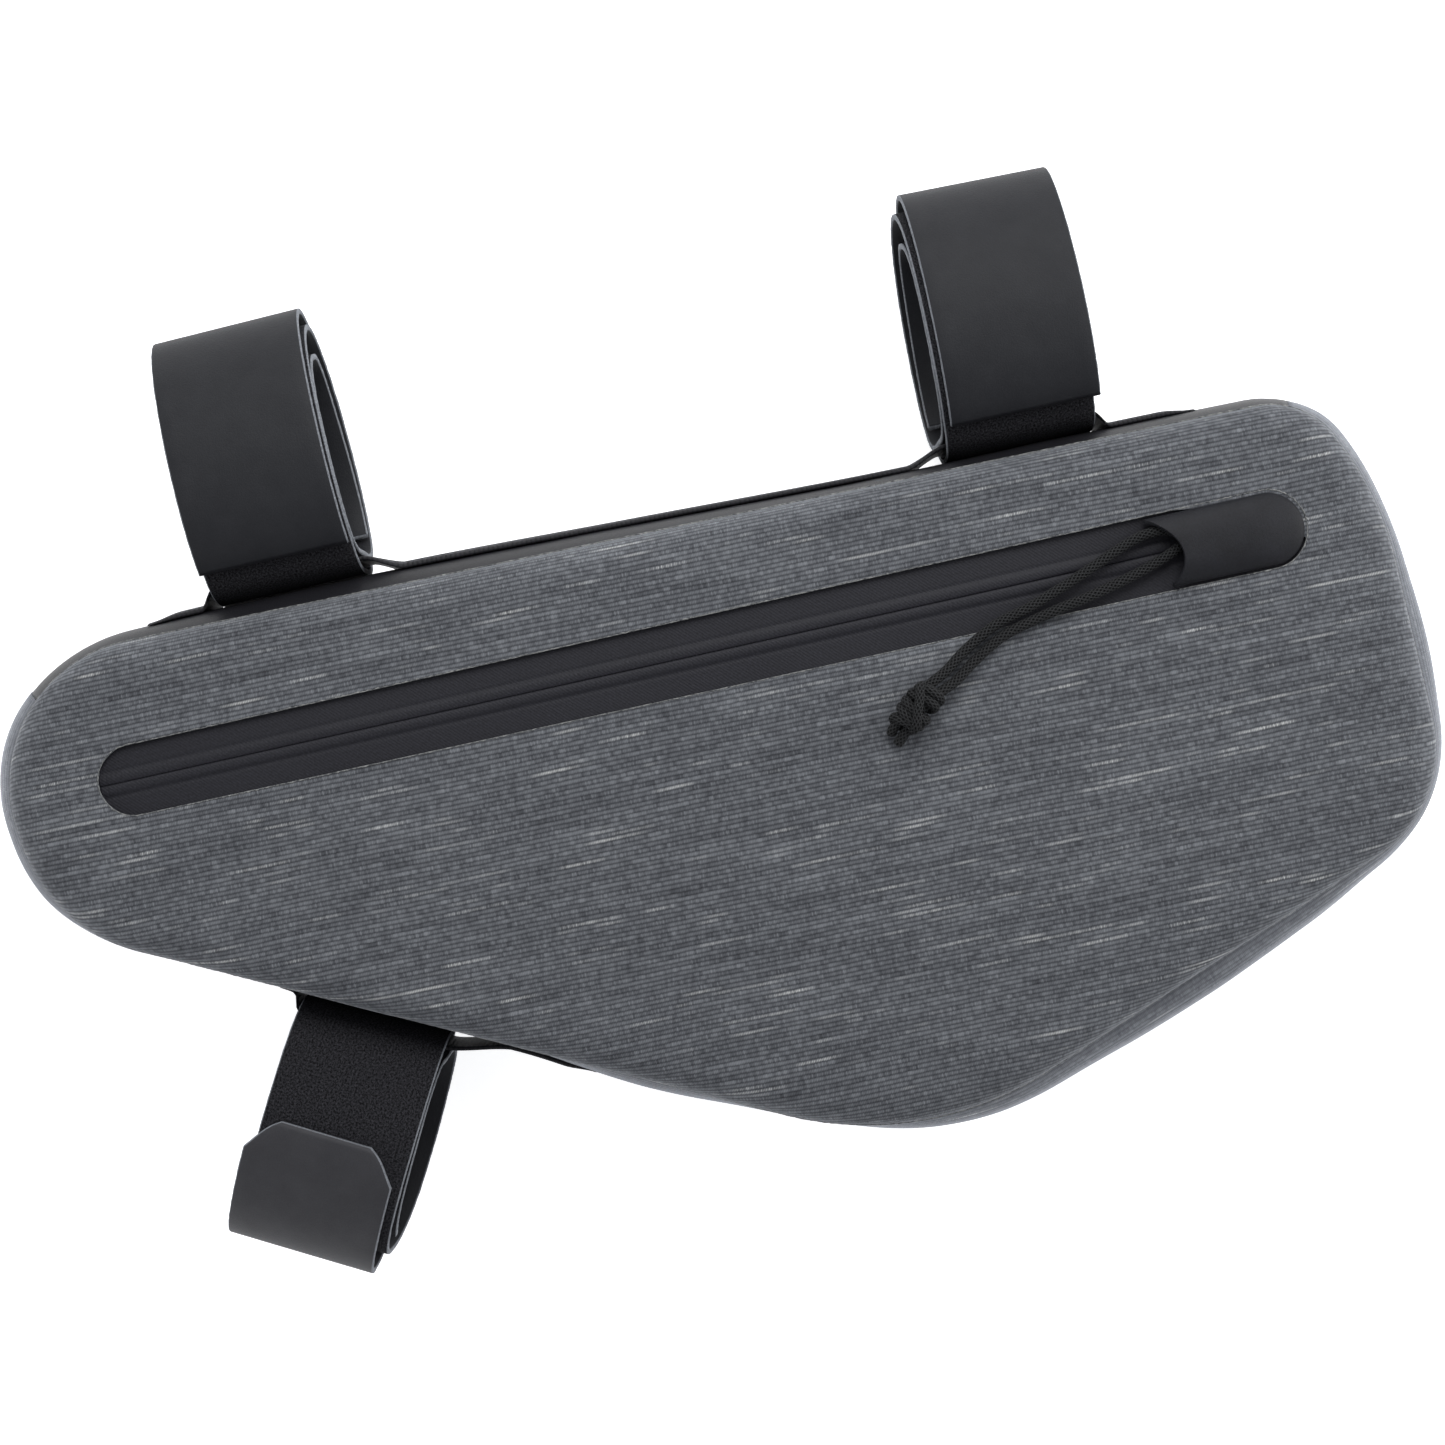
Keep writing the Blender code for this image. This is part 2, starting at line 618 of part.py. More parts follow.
def make_garage(parts):
    """The hood: an arch across the slot, open towards the nose and closed down at the round end."""
    tail_radius = SLOT_TAIL_WIDTH / 2 - SLOT_CLEARANCE
    tail_centre = SLOT_LENGTH / 2 - SLOT_TAIL_WIDTH / 2
    rim = -TAPE_RECESS + GARAGE_SEAT

    def surface_point(share, side):
        half = slot_half_width(garage_mouth()) - SLOT_CLEARANCE
        across = side * (half + share * (tail_radius - half))
        mouth = garage_mouth() + GARAGE_MOUTH_SAG * (1 - side**2) - GARAGE_MOUTH_SKEW * side
        end = tail_centre + math.sqrt(max(0.0, tail_radius**2 - across**2))
        along = mouth + share * (end - mouth)
        arch = (1 - abs(side) ** GARAGE_SQUARENESS) ** (1 / GARAGE_SQUARENESS)
        height = GARAGE_HEIGHT + share * (GARAGE_TAIL_HEIGHT - GARAGE_HEIGHT)
        closing = max(0.0, 1 - max(0.0, (share - 0.55) / 0.45) ** 2) ** 0.5
        return on_face(along, across, rim + height * arch * closing)

    sides = [-math.cos(math.pi * k / GARAGE_ACROSS_STEPS) for k in range(GARAGE_ACROSS_STEPS + 1)]
    shares = [math.sin(math.pi / 2 * k / GARAGE_ALONG_STEPS) for k in range(GARAGE_ALONG_STEPS + 1)]

    def build(bm):
        rows = [[bm.verts.new(surface_point(share, side)) for side in sides] for share in shares]
        for here, there in zip(rows, rows[1:]):
            for k in range(GARAGE_ACROSS_STEPS):
                bm.faces.new((here[k], there[k], there[k + 1], here[k + 1]))

    mesh = mesh_from("zip_garage", build)
    if mesh.polygons[GARAGE_ACROSS_STEPS // 2].normal.z < 0:
        mesh.flip_normals()
    solidify(add_object("zip_garage", mesh, COATED_BLACK, parts), GARAGE_WALL)


def make_slider(parts, cutters):
    """The slider's upper body with the flat ring that holds the cord."""
    base = -TAPE_RECESS + SEAT_GAP
    ring_along = garage_mouth() + GARAGE_MOUTH_SAG + 2.2 * MM + PULL_RING_RADIUS
    body_along = ring_along + PULL_RING_RADIUS + PULL_RING_WIRE - PULL_RING_OVERLAP + SLIDER_LENGTH / 2
    bpy.ops.mesh.primitive_torus_add(
        major_radius=PULL_RING_RADIUS, minor_radius=PULL_RING_WIRE, major_segments=20, minor_segments=8,
        location=on_face(ring_along, 0, base + PULL_RING_WIRE), rotation=(0, 0, ZIP_TILT),
    )
    ring = bpy.context.object
    ring.name = "pull_ring_for_union"
    ring.hide_render = True
    ring.display_type = "WIRE"
    for group in list(ring.users_collection):
        group.objects.unlink(ring)
    cutters.objects.link(ring)

    def build(bm):
        bmesh.ops.create_cube(bm, size=1.0)
        bmesh.ops.scale(bm, vec=(SLIDER_LENGTH, SLIDER_WIDTH, SLIDER_HEIGHT), verts=bm.verts)

    slider = add_object("zip_slider", mesh_from("zip_slider", build), SLIDER_METAL, parts)
    slider.location = on_face(body_along, 0, base + SLIDER_HEIGHT / 2)
    slider.rotation_euler = (0, 0, ZIP_TILT)
    soften = slider.modifiers.new("soft_edges", "BEVEL")
    soften.width = 0.8 * MM
    soften.segments = 2
    join = slider.modifiers.new("pull_ring", "BOOLEAN")
    join.operation = "UNION"
    join.object = ring


# Pull cord

def smooth_route(points, spacing):
    """Points about spacing apart on a smooth curve through a route's own points."""
    route = [Vector(point) for point in points]
    padded = [2 * route[0] - route[1], *route, 2 * route[-1] - route[-2]]
    fine = []
    steps = 12
    for i in range(1, len(padded) - 2):
        a, b, c, d = padded[i - 1:i + 3]
        for k in range(steps):
            t = k / steps
            fine.append(0.5 * (2 * b + (c - a) * t + (2 * a - 5 * b + 4 * c - d) * t**2
                               + (3 * b - a - 3 * c + d) * t**3))
    fine.append(route[-1])
    total = sum((q - p).length for p, q in zip(fine, fine[1:]))
    count = max(2, round(total / spacing))
    spaced = [fine[0]]
    walked = 0.0
    for p, q in zip(fine, fine[1:]):
        step = (q - p).length
        while len(spaced) < count and walked + step >= len(spaced) * total / count:
            share = (len(spaced) * total / count - walked) / step
            spaced.append(p.lerp(q, share))
        walked += step
    spaced.append(fine[-1])
    return spaced


def make_strand(name, rows, parts):
    route = []
    for x, y, height in rows:
        route.append((x * MM, y * MM, face_height(x * MM, y * MM) + height * MM))
    points = smooth_route(route, CORD_POINT_SPACING / 2)
    curve = bpy.data.curves.new(name, "CURVE")
    curve.dimensions = "3D"
    curve.bevel_depth = CORD_DIAMETER / 2
    curve.bevel_resolution = 2
    curve.use_fill_caps = True
    spline = curve.splines.new("POLY")
    spline.points.add(len(points) - 1)
    for slot, point in zip(spline.points, points):
        slot.co = (*point, 1.0)
    add_object(name, curve, CORD_BLACK, parts)


def make_knot(parts):
    heading = Vector((math.cos(KNOT_HEADING), math.sin(KNOT_HEADING), 0))
    sideways = Vector((-heading.y, heading.x, 0))
    x, y = KNOT_MIDDLE
    lift = face_height(x, y) + KNOT_RADIUS * KNOT_FLATNESS + SEAT_GAP
    middle = Vector((x, y, lift))
    sections = []
    for row in KNOT_SECTIONS:
        centre = middle + heading * row["along"] * KNOT_LENGTH
        radius = row["radius"] * KNOT_RADIUS
        # The tail sinks towards the face behind the wraps.
        sink = max(0.0, -row["along"] - 0.45) * KNOT_RADIUS
        section = []
        for k in range(KNOT_SIDES):
            angle = 2 * math.pi * k / KNOT_SIDES
            rise = math.sin(angle) * KNOT_FLATNESS * radius - sink
            section.append(centre + sideways * math.cos(angle) * radius + Vector((0, 0, rise)))
        sections.append(section)
    loft("pull_cord_knot", sections, CORD_BLACK, parts)


# Straps and daisy strips

def loop_point(strap, turn):
    """The outermost turn's middle line: (towards the face, away from the side wall) from the loop's foot."""
    angle = 2 * math.pi * turn
    rise = ((1 - math.cos(angle)) / 2) ** strap["squareness"]
    return Vector((strap["half_depth"] * math.sin(angle), (strap["height"] - STRAP_WALL) * rise))


def strip_lift(strap):
    """Height of the daisy strip's underside over the side wall where the strap passes under it."""
    edge_turn = math.asin(STRIP_WIDTH / 2 / strap["half_depth"]) / (2 * math.pi)
    return SEAT_GAP + STRAP_WALL + STRIP_CLEARANCE + loop_point(strap, edge_turn).y


def winding_path(strap):
    """The strap's middle line from its outer end to its inner end, with its slip along the side."""
    rows = strap["winding"]
    turns = [row["turn"] for row in rows]
    slacks = [row["slack"] for row in rows]
    slips = [row["aside"] * strap["aside"] for row in rows]
    over_step = strip_lift(strap) + STRIP_WALL + STRIP_CLEARANCE
    insets = [row["layers"] * (STRAP_WALL + LAYER_GAP) + row["over"] * over_step for row in rows]
    middle = Vector((0, LOOP_MIDDLE * strap["height"]))
    start, end = turns[0], turns[-1]
    steps = round((end - start) * STRAP_STEPS_PER_TURN)
    line = []
    for k in range(steps + 1):
        turn = start + (end - start) * k / steps
        ahead = loop_point(strap, turn + 1e-4) - loop_point(strap, turn - 1e-4)
        inward = Vector((-ahead.y, ahead.x)).normalized()
        here = loop_point(strap, turn) + inward * eased(turns, insets, turn)
        line.append((here.lerp(middle, eased(turns, slacks, turn)), eased(turns, slips, turn)))
    return line


def side_place(side, along):
    """A straight side's point, its outward and along directions, and the side wall's swell there."""
    run = SEGMENTS[side]
    point, outward = outline_at(run["at"] + along)
    heading = run["run"].normalized()
    return point, outward.to_3d(), heading.to_3d(), swell_at(run["at"] + along)


def sized_strap(row):
    """A strap's row with its shares turned into lengths."""
    return {**row, "along": row["along"] * SEGMENTS[row["side"]]["run"].length,
            "height": row["height"] * STRAP_LOOP_HEIGHT,
            "half_depth": row["half_depth"] * STRAP_LOOP_HALF_DEPTH,
            "before": row["before"] * STRIP_RAMP, "after": row["after"] * STRIP_RAMP}


def sized_strip(row):
    """A strip's row with its shares turned into lengths."""
    length = SEGMENTS[row["side"]]["run"].length
    return {**row, "from": row["from"] * length, "to": row["to"] * length}


def strap_foot(strap):
    """The side wall's crown under a strap, with the outward and along directions there."""
    point, outward, heading, _ = side_place(strap["side"], strap["along"])
    edges = (strap["along"] - STRAP_WIDTH / 2, strap["along"], strap["along"] + STRAP_WIDTH / 2)
    swell = max(side_place(strap["side"], along)[3] for along in edges)
    return point.to_3d() + outward * swell + Vector((0, 0, BODY_DEPTH / 2)), outward, heading


def make_strap(strap, parts):
    foot, up, across = strap_foot(strap)
    turned = Matrix.Rotation(strap["lean"], 3, "Z")
    # A leaning strap's lower corner stays as far from the side wall as its middle would.
    foot = foot + up * STRAP_WIDTH / 2 * abs(math.sin(strap["lean"]))
    up, across = turned @ up, turned @ across
    line = winding_path(strap)
    base = foot + up * (SEAT_GAP + STRAP_WALL / 2)
    walked = 0.0
    sections = []
    for k, (here, slip) in enumerate(line):
        before = line[max(0, k - 1)][0]
        after = line[min(len(line) - 1, k + 1)][0]
        heading = (after - before).normalized()
        side = Vector((-heading.y, heading.x)) * STRAP_WALL / 2
        if k:
            walked += (here - line[k - 1][0]).length
        cut = TAB_CHAMFER_WIDTH * max(0.0, 1 - walked / TAB_CHAMFER_LENGTH) if strap["chamfered"] else 0.0
        half_width = STRAP_WIDTH / 2 - cut
        section = []
        for sign, offset in ((-1, side), (-1, -side), (1, -side), (1, side)):
            spot = here + offset
            section.append(base + Vector((0, 0, spot.x)) + up * spot.y + across * (sign * half_width + slip))
        sections.append(section)
    loft(strap["name"], sections, STRAP_RUBBER, parts)


def strip_stations(strip, straps):
    """Places along a daisy strip, closer together where it ramps up beside a strap."""
    count = round((strip["to"] - strip["from"]) / STRIP_STEP)
    stations = [strip["from"] + (strip["to"] - strip["from"]) * k / count for k in range(count + 1)]
    for strap in straps:
        low = strap["along"] - STRAP_WIDTH / 2 - STRIP_MARGIN
        high = strap["along"] + STRAP_WIDTH / 2 + STRIP_MARGIN
        reach = STRIP_STEP / 4
        stations = [at for at in stations
                    if not low - strap["before"] - reach < at < high + strap["after"] + reach]
        for k in range(STRIP_RAMP_STEPS + 1):
            stations.append(low - strap["before"] * k / STRIP_RAMP_STEPS)
            stations.append(high + strap["after"] * k / STRIP_RAMP_STEPS)
    return sorted({strip["from"], strip["to"], *stations})


def make_strip(strip, parts):
    """A daisy strip, flat on the side wall and lifted over the straps that pass under it."""
    straps = [sized_strap(row) for row in STRAPS if row["side"] == strip["side"]]
    middle = BODY_DEPTH / 2
    depths = [middle + STRIP_WIDTH * (k / STRIP_ACROSS_STEPS - 0.5) for k in range(STRIP_ACROSS_STEPS + 1)]
    sections = []
    for along in strip_stations(strip, straps):
        point, outward, _, swell = side_place(strip["side"], along)
        under = []
        for depth in depths:
            height = swell * gusset_rise(depth) + SEAT_GAP
            for strap in straps:
                beyond = abs(along - strap["along"]) - STRAP_WIDTH / 2 - STRIP_MARGIN
                ramp = strap["before"] if along < strap["along"] else strap["after"]
                foot, _, _ = strap_foot(strap)
                lift = strip_lift(strap)
                aside = max(-STRAP_WIDTH / 2, min(STRAP_WIDTH / 2, along - strap["along"]))
                lift += STRAP_WIDTH / 2 * abs(math.sin(strap["lean"])) - aside * math.sin(strap["lean"])
                raised = outward.dot(foot) - outward.xy.dot(point) + lift
                height += smoothstep(1 - beyond / ramp) * (raised - height)
            under.append(point.to_3d() + outward * height + Vector((0, 0, depth)))
        outer = [spot + outward * STRIP_WALL for spot in reversed(under)]
        sections.append(under + outer)
    loft(strip["name"], sections, COATED_BLACK, parts)


def main():
    clear_scene()
    parts = collection("frame_bag")
    cutters = collection("cutters")
    make_front_panel(parts, cutters)
    make_back_panel(parts)
    make_gussets(parts)
    make_zip_tape("zip_tape_upper", 1, parts)
    make_zip_tape("zip_tape_lower", -1, parts)
    make_garage(parts)
    make_slider(parts, cutters)
    make_strand("pull_cord_upper", UPPER_STRAND, parts)
    make_strand("pull_cord_lower", LOWER_STRAND, parts)
    make_knot(parts)
    for row in STRIPS:
        make_strip(sized_strip(row), parts)
    for row in STRAPS:
        make_strap(sized_strap(row), parts)


main()
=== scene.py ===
import math
from functools import partial

import bmesh
import bpy
import numpy as np
from mathutils import Matrix, Vector


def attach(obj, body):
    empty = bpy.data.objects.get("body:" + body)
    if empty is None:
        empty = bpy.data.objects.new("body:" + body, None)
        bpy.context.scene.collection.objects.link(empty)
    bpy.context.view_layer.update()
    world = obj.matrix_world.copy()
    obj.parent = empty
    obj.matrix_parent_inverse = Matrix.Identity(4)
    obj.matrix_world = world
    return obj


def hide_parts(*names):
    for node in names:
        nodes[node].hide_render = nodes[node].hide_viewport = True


# Half-frame bicycle bag, lying face up. Metres, +X towards the deep tail, +Y towards the top tube, +Z up

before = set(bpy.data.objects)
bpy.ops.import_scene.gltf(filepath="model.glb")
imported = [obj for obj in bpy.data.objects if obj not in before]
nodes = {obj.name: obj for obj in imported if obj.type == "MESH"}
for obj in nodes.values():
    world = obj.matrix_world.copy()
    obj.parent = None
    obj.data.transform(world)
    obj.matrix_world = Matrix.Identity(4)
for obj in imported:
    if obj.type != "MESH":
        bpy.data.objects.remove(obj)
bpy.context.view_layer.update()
mm = 0.001
print("frame loaded:", len(nodes), "nodes")


# Small helpers

def hexColor(code):
    # sRGB hex to linear RGBA
    channels = [int(code[i:i + 2], 16) / 255 for i in (1, 3, 5)]
    return (*[c / 12.92 if c <= 0.04045 else ((c + 0.055) / 1.055) ** 2.4 for c in channels], 1.0)


def addNode(tree, kind, values=None, links=None, **settings):
    node = tree.nodes.new(kind)
    for name, value in settings.items():
        setattr(node, name, value)
    for socket, value in (values or {}).items():
        node.inputs[socket].default_value = value
    for socket, source in (links or {}).items():
        tree.links.new(source, node.inputs[socket])
    return node


def newMaterial(name):
    made = bpy.data.materials.new(name)
    made.use_nodes = True
    tree = made.node_tree
    return made, tree, tree.nodes["Principled BSDF"]


def smoothstep(low, high, x):
    t = np.clip((np.asarray(x, dtype=float) - low) / (high - low), 0, 1)
    return t * t * (3 - 2 * t)


def eased(stops, values, at):
    # A smooth curve through values that never swings past them
    count = len(stops)
    slopes = [(values[i + 1] - values[i]) / (stops[i + 1] - stops[i]) for i in range(count - 1)]
    tangents = [0.0] * count
    for i in range(1, count - 1):
        if slopes[i - 1] * slopes[i] > 0:
            tangents[i] = 2 * slopes[i - 1] * slopes[i] / (slopes[i - 1] + slopes[i])
    i = 0
    while i < count - 2 and at > stops[i + 1]:
        i += 1
    span = stops[i + 1] - stops[i]
    t = min(1.0, max(0.0, (at - stops[i]) / span))
    rise = values[i] + (values[i + 1] - values[i]) * (3 * t**2 - 2 * t**3)
    return rise + span * (tangents[i] * (t**3 - 2 * t**2 + t) + tangents[i + 1] * (t**3 - t**2))


def hashNoise(seed, count):
    return np.random.default_rng(seed).random(count)


def softNoise(x, y, seed, size):
    # Smooth value noise from -1 to 1 over a plane, with features about size across
    grid = np.random.default_rng(seed).random((64, 64)) * 2 - 1
    u, v = np.asarray(x) / size + 17.3, np.asarray(y) / size + 9.1
    i, j = np.floor(u).astype(int), np.floor(v).astype(int)
    fu, fv = u - i, v - j
    fu, fv = fu * fu * (3 - 2 * fu), fv * fv * (3 - 2 * fv)
    a = grid[i % 64, j % 64] * (1 - fu) + grid[(i + 1) % 64, j % 64] * fu
    b = grid[i % 64, (j + 1) % 64] * (1 - fu) + grid[(i + 1) % 64, (j + 1) % 64] * fu
    return a * (1 - fv) + b * fv


def gridMesh(name, points, uvs, material, closedU=False, closedV=False, thickness=0.0):
    # A mesh from a grid of points[u, v]; uvs hold cloth millimetres for the weave
    # A closed grid has one more column of uvs than of points
    points, uvs = np.asarray(points), np.asarray(uvs)
    nu, nv = points.shape[:2]
    mesh = bpy.data.meshes.new(name)
    faces, corners = [], []
    for i in range(nu if closedU else nu - 1):
        for j in range(nv if closedV else nv - 1):
            a, b = (i + 1) % nu, (j + 1) % nv
            quad = [(i, j), (a, j), (a, b), (i, b)]
            faces.append([p * nv + q for p, q in quad])
            corners.append([(i, j), (i + 1, j), (i + 1, j + 1), (i, j + 1)])
    mesh.from_pydata(points.reshape(-1, 3).tolist(), [], faces)
    layer = mesh.uv_layers.new(name="weave")
    layer.data.foreach_set("uv", np.array([uvs[p, q] for wrap in corners for p, q in wrap]).ravel())
    mesh.polygons.foreach_set("use_smooth", [True] * len(faces))
    made = bpy.data.objects.new(name, mesh)
    bpy.context.scene.collection.objects.link(made)
    mesh.materials.append(material)
    if thickness:
        wall = made.modifiers.new("wall", "SOLIDIFY")
        wall.thickness = thickness
        wall.offset = -1
    return made


def closeEnds(made, endMaterial=None, within=None, outwards=True):
    # Fills a grid's open ends, or only those that within accepts, and turns its faces outwards
    bm = bmesh.new()
    bm.from_mesh(made.data)
    edges = [e for e in bm.edges if e.is_boundary and (within is None or within(e.verts[0].co))]
    filled = bmesh.ops.holes_fill(bm, edges=edges, sides=0)
    for face in filled["faces"]:
        if endMaterial is not None:
            face.material_index = endMaterial
    if outwards:
        bmesh.ops.recalc_face_normals(bm, faces=bm.faces)
    bm.to_mesh(made.data)
    bm.free()


def faceTowards(made, direction, polygon=None):
    # Flips the mesh if the polygon, its middle one unless named, looks away from the direction
    polygons = made.data.polygons
    if polygons[len(polygons) // 2 if polygon is None else polygon].normal.dot(Vector(direction)) < 0:
        made.data.flip_normals()


def dress(made, slot, *replaced):
    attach(made, "root")
    if replaced:
        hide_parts(*replaced)
    return made


# Camera and cords come first

camera = {
    "aboveFace": 0.700,
    "faceHeight": 0.056,
    "middle": (0.00315, 0.03035),
    "roll": 12.0,
    "focalPixels": 2660.0,
    "framePixels": 1445,
}
cameraData = bpy.data.cameras.new("copyStandCamera")
cameraData.sensor_width = 36
cameraData.lens = 36 * camera["focalPixels"] / camera["framePixels"]
cameraData.clip_start = 0.01
cameraObject = bpy.data.objects.new("copyStandCamera", cameraData)
cameraObject.location = (*camera["middle"], camera["faceHeight"] + camera["aboveFace"])
cameraObject.rotation_euler = (0, 0, -math.radians(camera["roll"]))
bpy.context.scene.collection.objects.link(cameraObject)
bpy.context.scene.camera = cameraObject

body = {
    "length": 374 * mm, "height": 168.5 * mm, "depth": 56 * mm, "roll": 8.0 * mm, "crown": 2.6 * mm,
    "squareness": 3, "seamGap": 0.4 * mm,
    # corner, along, up, round
    "corners": [
        ("noseTop", -0.510, 0.502, 0.230), ("noseBottom", -0.490, 0.084, 0.261),
        ("belly", 0.087, -0.547, 0.526),
        ("heel", 0.504, -0.189, 0.203), ("tailSide", 0.499, 0.310, 0.499), ("tailTop", 0.462, 0.493, 0.126),
    ],
    # share of the way round from the nose top arc, side wall's swell in millimetres
    "swells": [
        (0.010, 4.2), (0.052, 6.1), (0.088, 5.1), (0.120, 2.0), (0.235, 1.5), (0.275, 3.9), (0.325, 1.6),
        (0.355, 4.1), (0.400, 8.0), (0.443, 9.5), (0.482, 8.2), (0.520, 4.9), (0.548, 5.5), (0.575, 7.4),
        (0.612, 5.4), (0.638, 5.8), (0.662, 3.6), (0.700, 3.6), (0.765, 3.1), (0.850, 4.5), (0.920, 5.7),
        (0.975, 5.0),
    ],
}


def faceHeight(x, y):
    along = np.minimum(1, np.abs(2 * np.asarray(x) / body["length"]))
    up = np.minimum(1, np.abs(2 * np.asarray(y) / body["height"]))
    return body["depth"] + body["crown"] * (1 - along ** 2) * (1 - up ** 2)


pullCord = {
    "diameter": 3.0 * mm,
    # x, y and the middle's height over the face, in millimetres, as in the source
    "upper": [
        (130.6, 54.7, 0.9), (125.8, 55.7, 1.0), (119.5, 55.0, 1.1), (111.0, 51.9, 1.3), (102.0, 48.2, 1.5),
        (94.0, 45.2, 1.7), (87.6, 43.0, 1.8), (78.4, 40.5, 1.8), (69.5, 35.8, 1.9), (63.0, 31.3, 3.2),
        (58.6, 29.1, 4.6), (56.4, 27.0, 4.9),
    ],
    "lower": [
        (130.6, 50.8, 0.9), (125.4, 48.5, 1.0), (119.0, 46.4, 1.1), (111.5, 44.4, 1.4), (103.5, 42.6, 1.7),
        (96.0, 41.2, 1.8), (88.4, 39.6, 1.8), (79.7, 37.2, 1.8), (71.5, 32.7, 1.9), (65.2, 28.4, 3.2),
        (60.5, 26.3, 4.6), (57.8, 24.4, 4.9),
    ],
    "knotMiddle": (53.5, 23.4), "knotHeading": 36.5,
    "bundles": 8, "sides": 40, "step": 0.16 * mm, "relief": 0.34 * mm, "pickLength": 3.2 * mm,
}


def smoothRoute(points, spacing):
    # Evenly spaced points on a smooth curve through a route
    route = [Vector(p) for p in points]
    ends = [2 * route[0] - route[1], *route, 2 * route[-1] - route[-2]]
    fine = []
    for i in range(1, len(ends) - 2):
        a, b, c, d = ends[i - 1:i + 3]
        for t in np.linspace(0, 1, 24, endpoint=False):
            fine.append(0.5 * (2 * b + (c - a) * t + (2 * a - 5 * b + 4 * c - d) * t**2
                               + (3 * b - a - 3 * c + d) * t**3))
    fine.append(route[-1])
    fine = np.array([tuple(p) for p in fine])
    walked = np.concatenate([[0], np.cumsum(np.linalg.norm(np.diff(fine, axis=0), axis=1))])
    stops = np.linspace(0, walked[-1], max(3, int(round(walked[-1] / spacing)) + 1))
    return np.stack([np.interp(stops, walked, fine[:, k]) for k in range(3)], axis=1), walked[-1]


def braidedTube(name, route, material, settings, radius=None, twist=1.0):
    # A round braid along a route: crossing bundles of yarn stand up from the tube
    radius = radius or settings["diameter"] / 2
    line, length = smoothRoute(route, settings["step"])
    tangents = np.gradient(line, axis=0)
    tangents /= np.linalg.norm(tangents, axis=1)[:, None]
    side = np.cross(tangents[0], (0.13, 0.21, 0.97))
    side /= np.linalg.norm(side)
    rings, uvs = [], []
    sides = settings["sides"]
    angles = np.linspace(0, 2 * math.pi, sides + 1)
    half = settings["bundles"] / 2
    for k, (point, tangent) in enumerate(zip(line, tangents)):
        side = side - tangent * side.dot(tangent)
        side /= np.linalg.norm(side)
        up = np.cross(tangent, side)
        walked = length * k / (len(line) - 1)
        turn = 2 * math.pi * walked / settings["pickLength"] * twist
        one = np.abs(np.cos(half * angles + turn))
        other = np.abs(np.cos(half * angles - turn))
        lift = np.maximum(one, other) ** 1.6 - 0.75
        end = min(walked, length - walked)
        taper = math.sqrt(min(1, max(0.02, end / (0.35 * radius))))
        r = (radius - 0.5 * settings["relief"] + settings["relief"] * lift) * taper
        ring = point + np.outer(np.cos(angles) * r, side) + np.outer(np.sin(angles) * r, up)
        rings.append(ring[:-1])
        # around is kept as a share of the turn, so that one material fits every radius
        uvs.append(np.stack([np.full(sides + 1, walked / mm), angles / (2 * math.pi)], axis=1))
    made = gridMesh(name, rings, uvs, material, closedV=True)
    closeEnds(made)
    return made, line, length


# Materials

def weaveCoordinates(tree):
    # Cloth millimetres along and across, from the weave uvs
    uv = addNode(tree, "ShaderNodeUVMap", uv_map="weave")
    split = addNode(tree, "ShaderNodeSeparateXYZ", links={0: uv.outputs[0]})
    return uv.outputs[0], split.outputs[0], split.outputs[1]


def addMath(tree, operation, *values):
    # One maths node; each value is a number or another node's output
    numbers = {i: v for i, v in enumerate(values) if isinstance(v, (int, float))}
    links = {i: v for i, v in enumerate(values) if not isinstance(v, (int, float))}
    return addNode(tree, "ShaderNodeMath", numbers, links, operation=operation).outputs[0]


def addNoise(tree, vector, scale, detail, roughness):
    return addNode(tree, "ShaderNodeTexNoise", {"Scale": scale, "Detail": detail, "Roughness": roughness},
                   {"Vector": vector})


def addBump(tree, strength, distance, height):
    return addNode(tree, "ShaderNodeBump", {"Strength": strength, "Distance": distance},
                   {"Height": height})


def addTint(tree, factor, dark, light):
    return addNode(tree, "ShaderNodeMix", {6: hexColor(dark), 7: hexColor(light)}, {0: factor},
                   data_type="RGBA")


def addRamp(tree, factor, low, dark, high, light):
    ramp = addNode(tree, "ShaderNodeValToRGB", links={0: factor})
    first, last = ramp.color_ramp.elements
    first.position, first.color = low, hexColor(dark)
    last.position, last.color = high, hexColor(light)
    return ramp


def finishSurface(tree, shader, color, bump, roughness, specular):
    # Joins a surface's colour and relief, and sets its gloss
    tree.links.new(color, shader.inputs["Base Color"])
    tree.links.new(bump.outputs[0], shader.inputs["Normal"])
    shader.inputs["Roughness"].default_value = roughness
    shader.inputs["Specular IOR Level"].default_value = specular


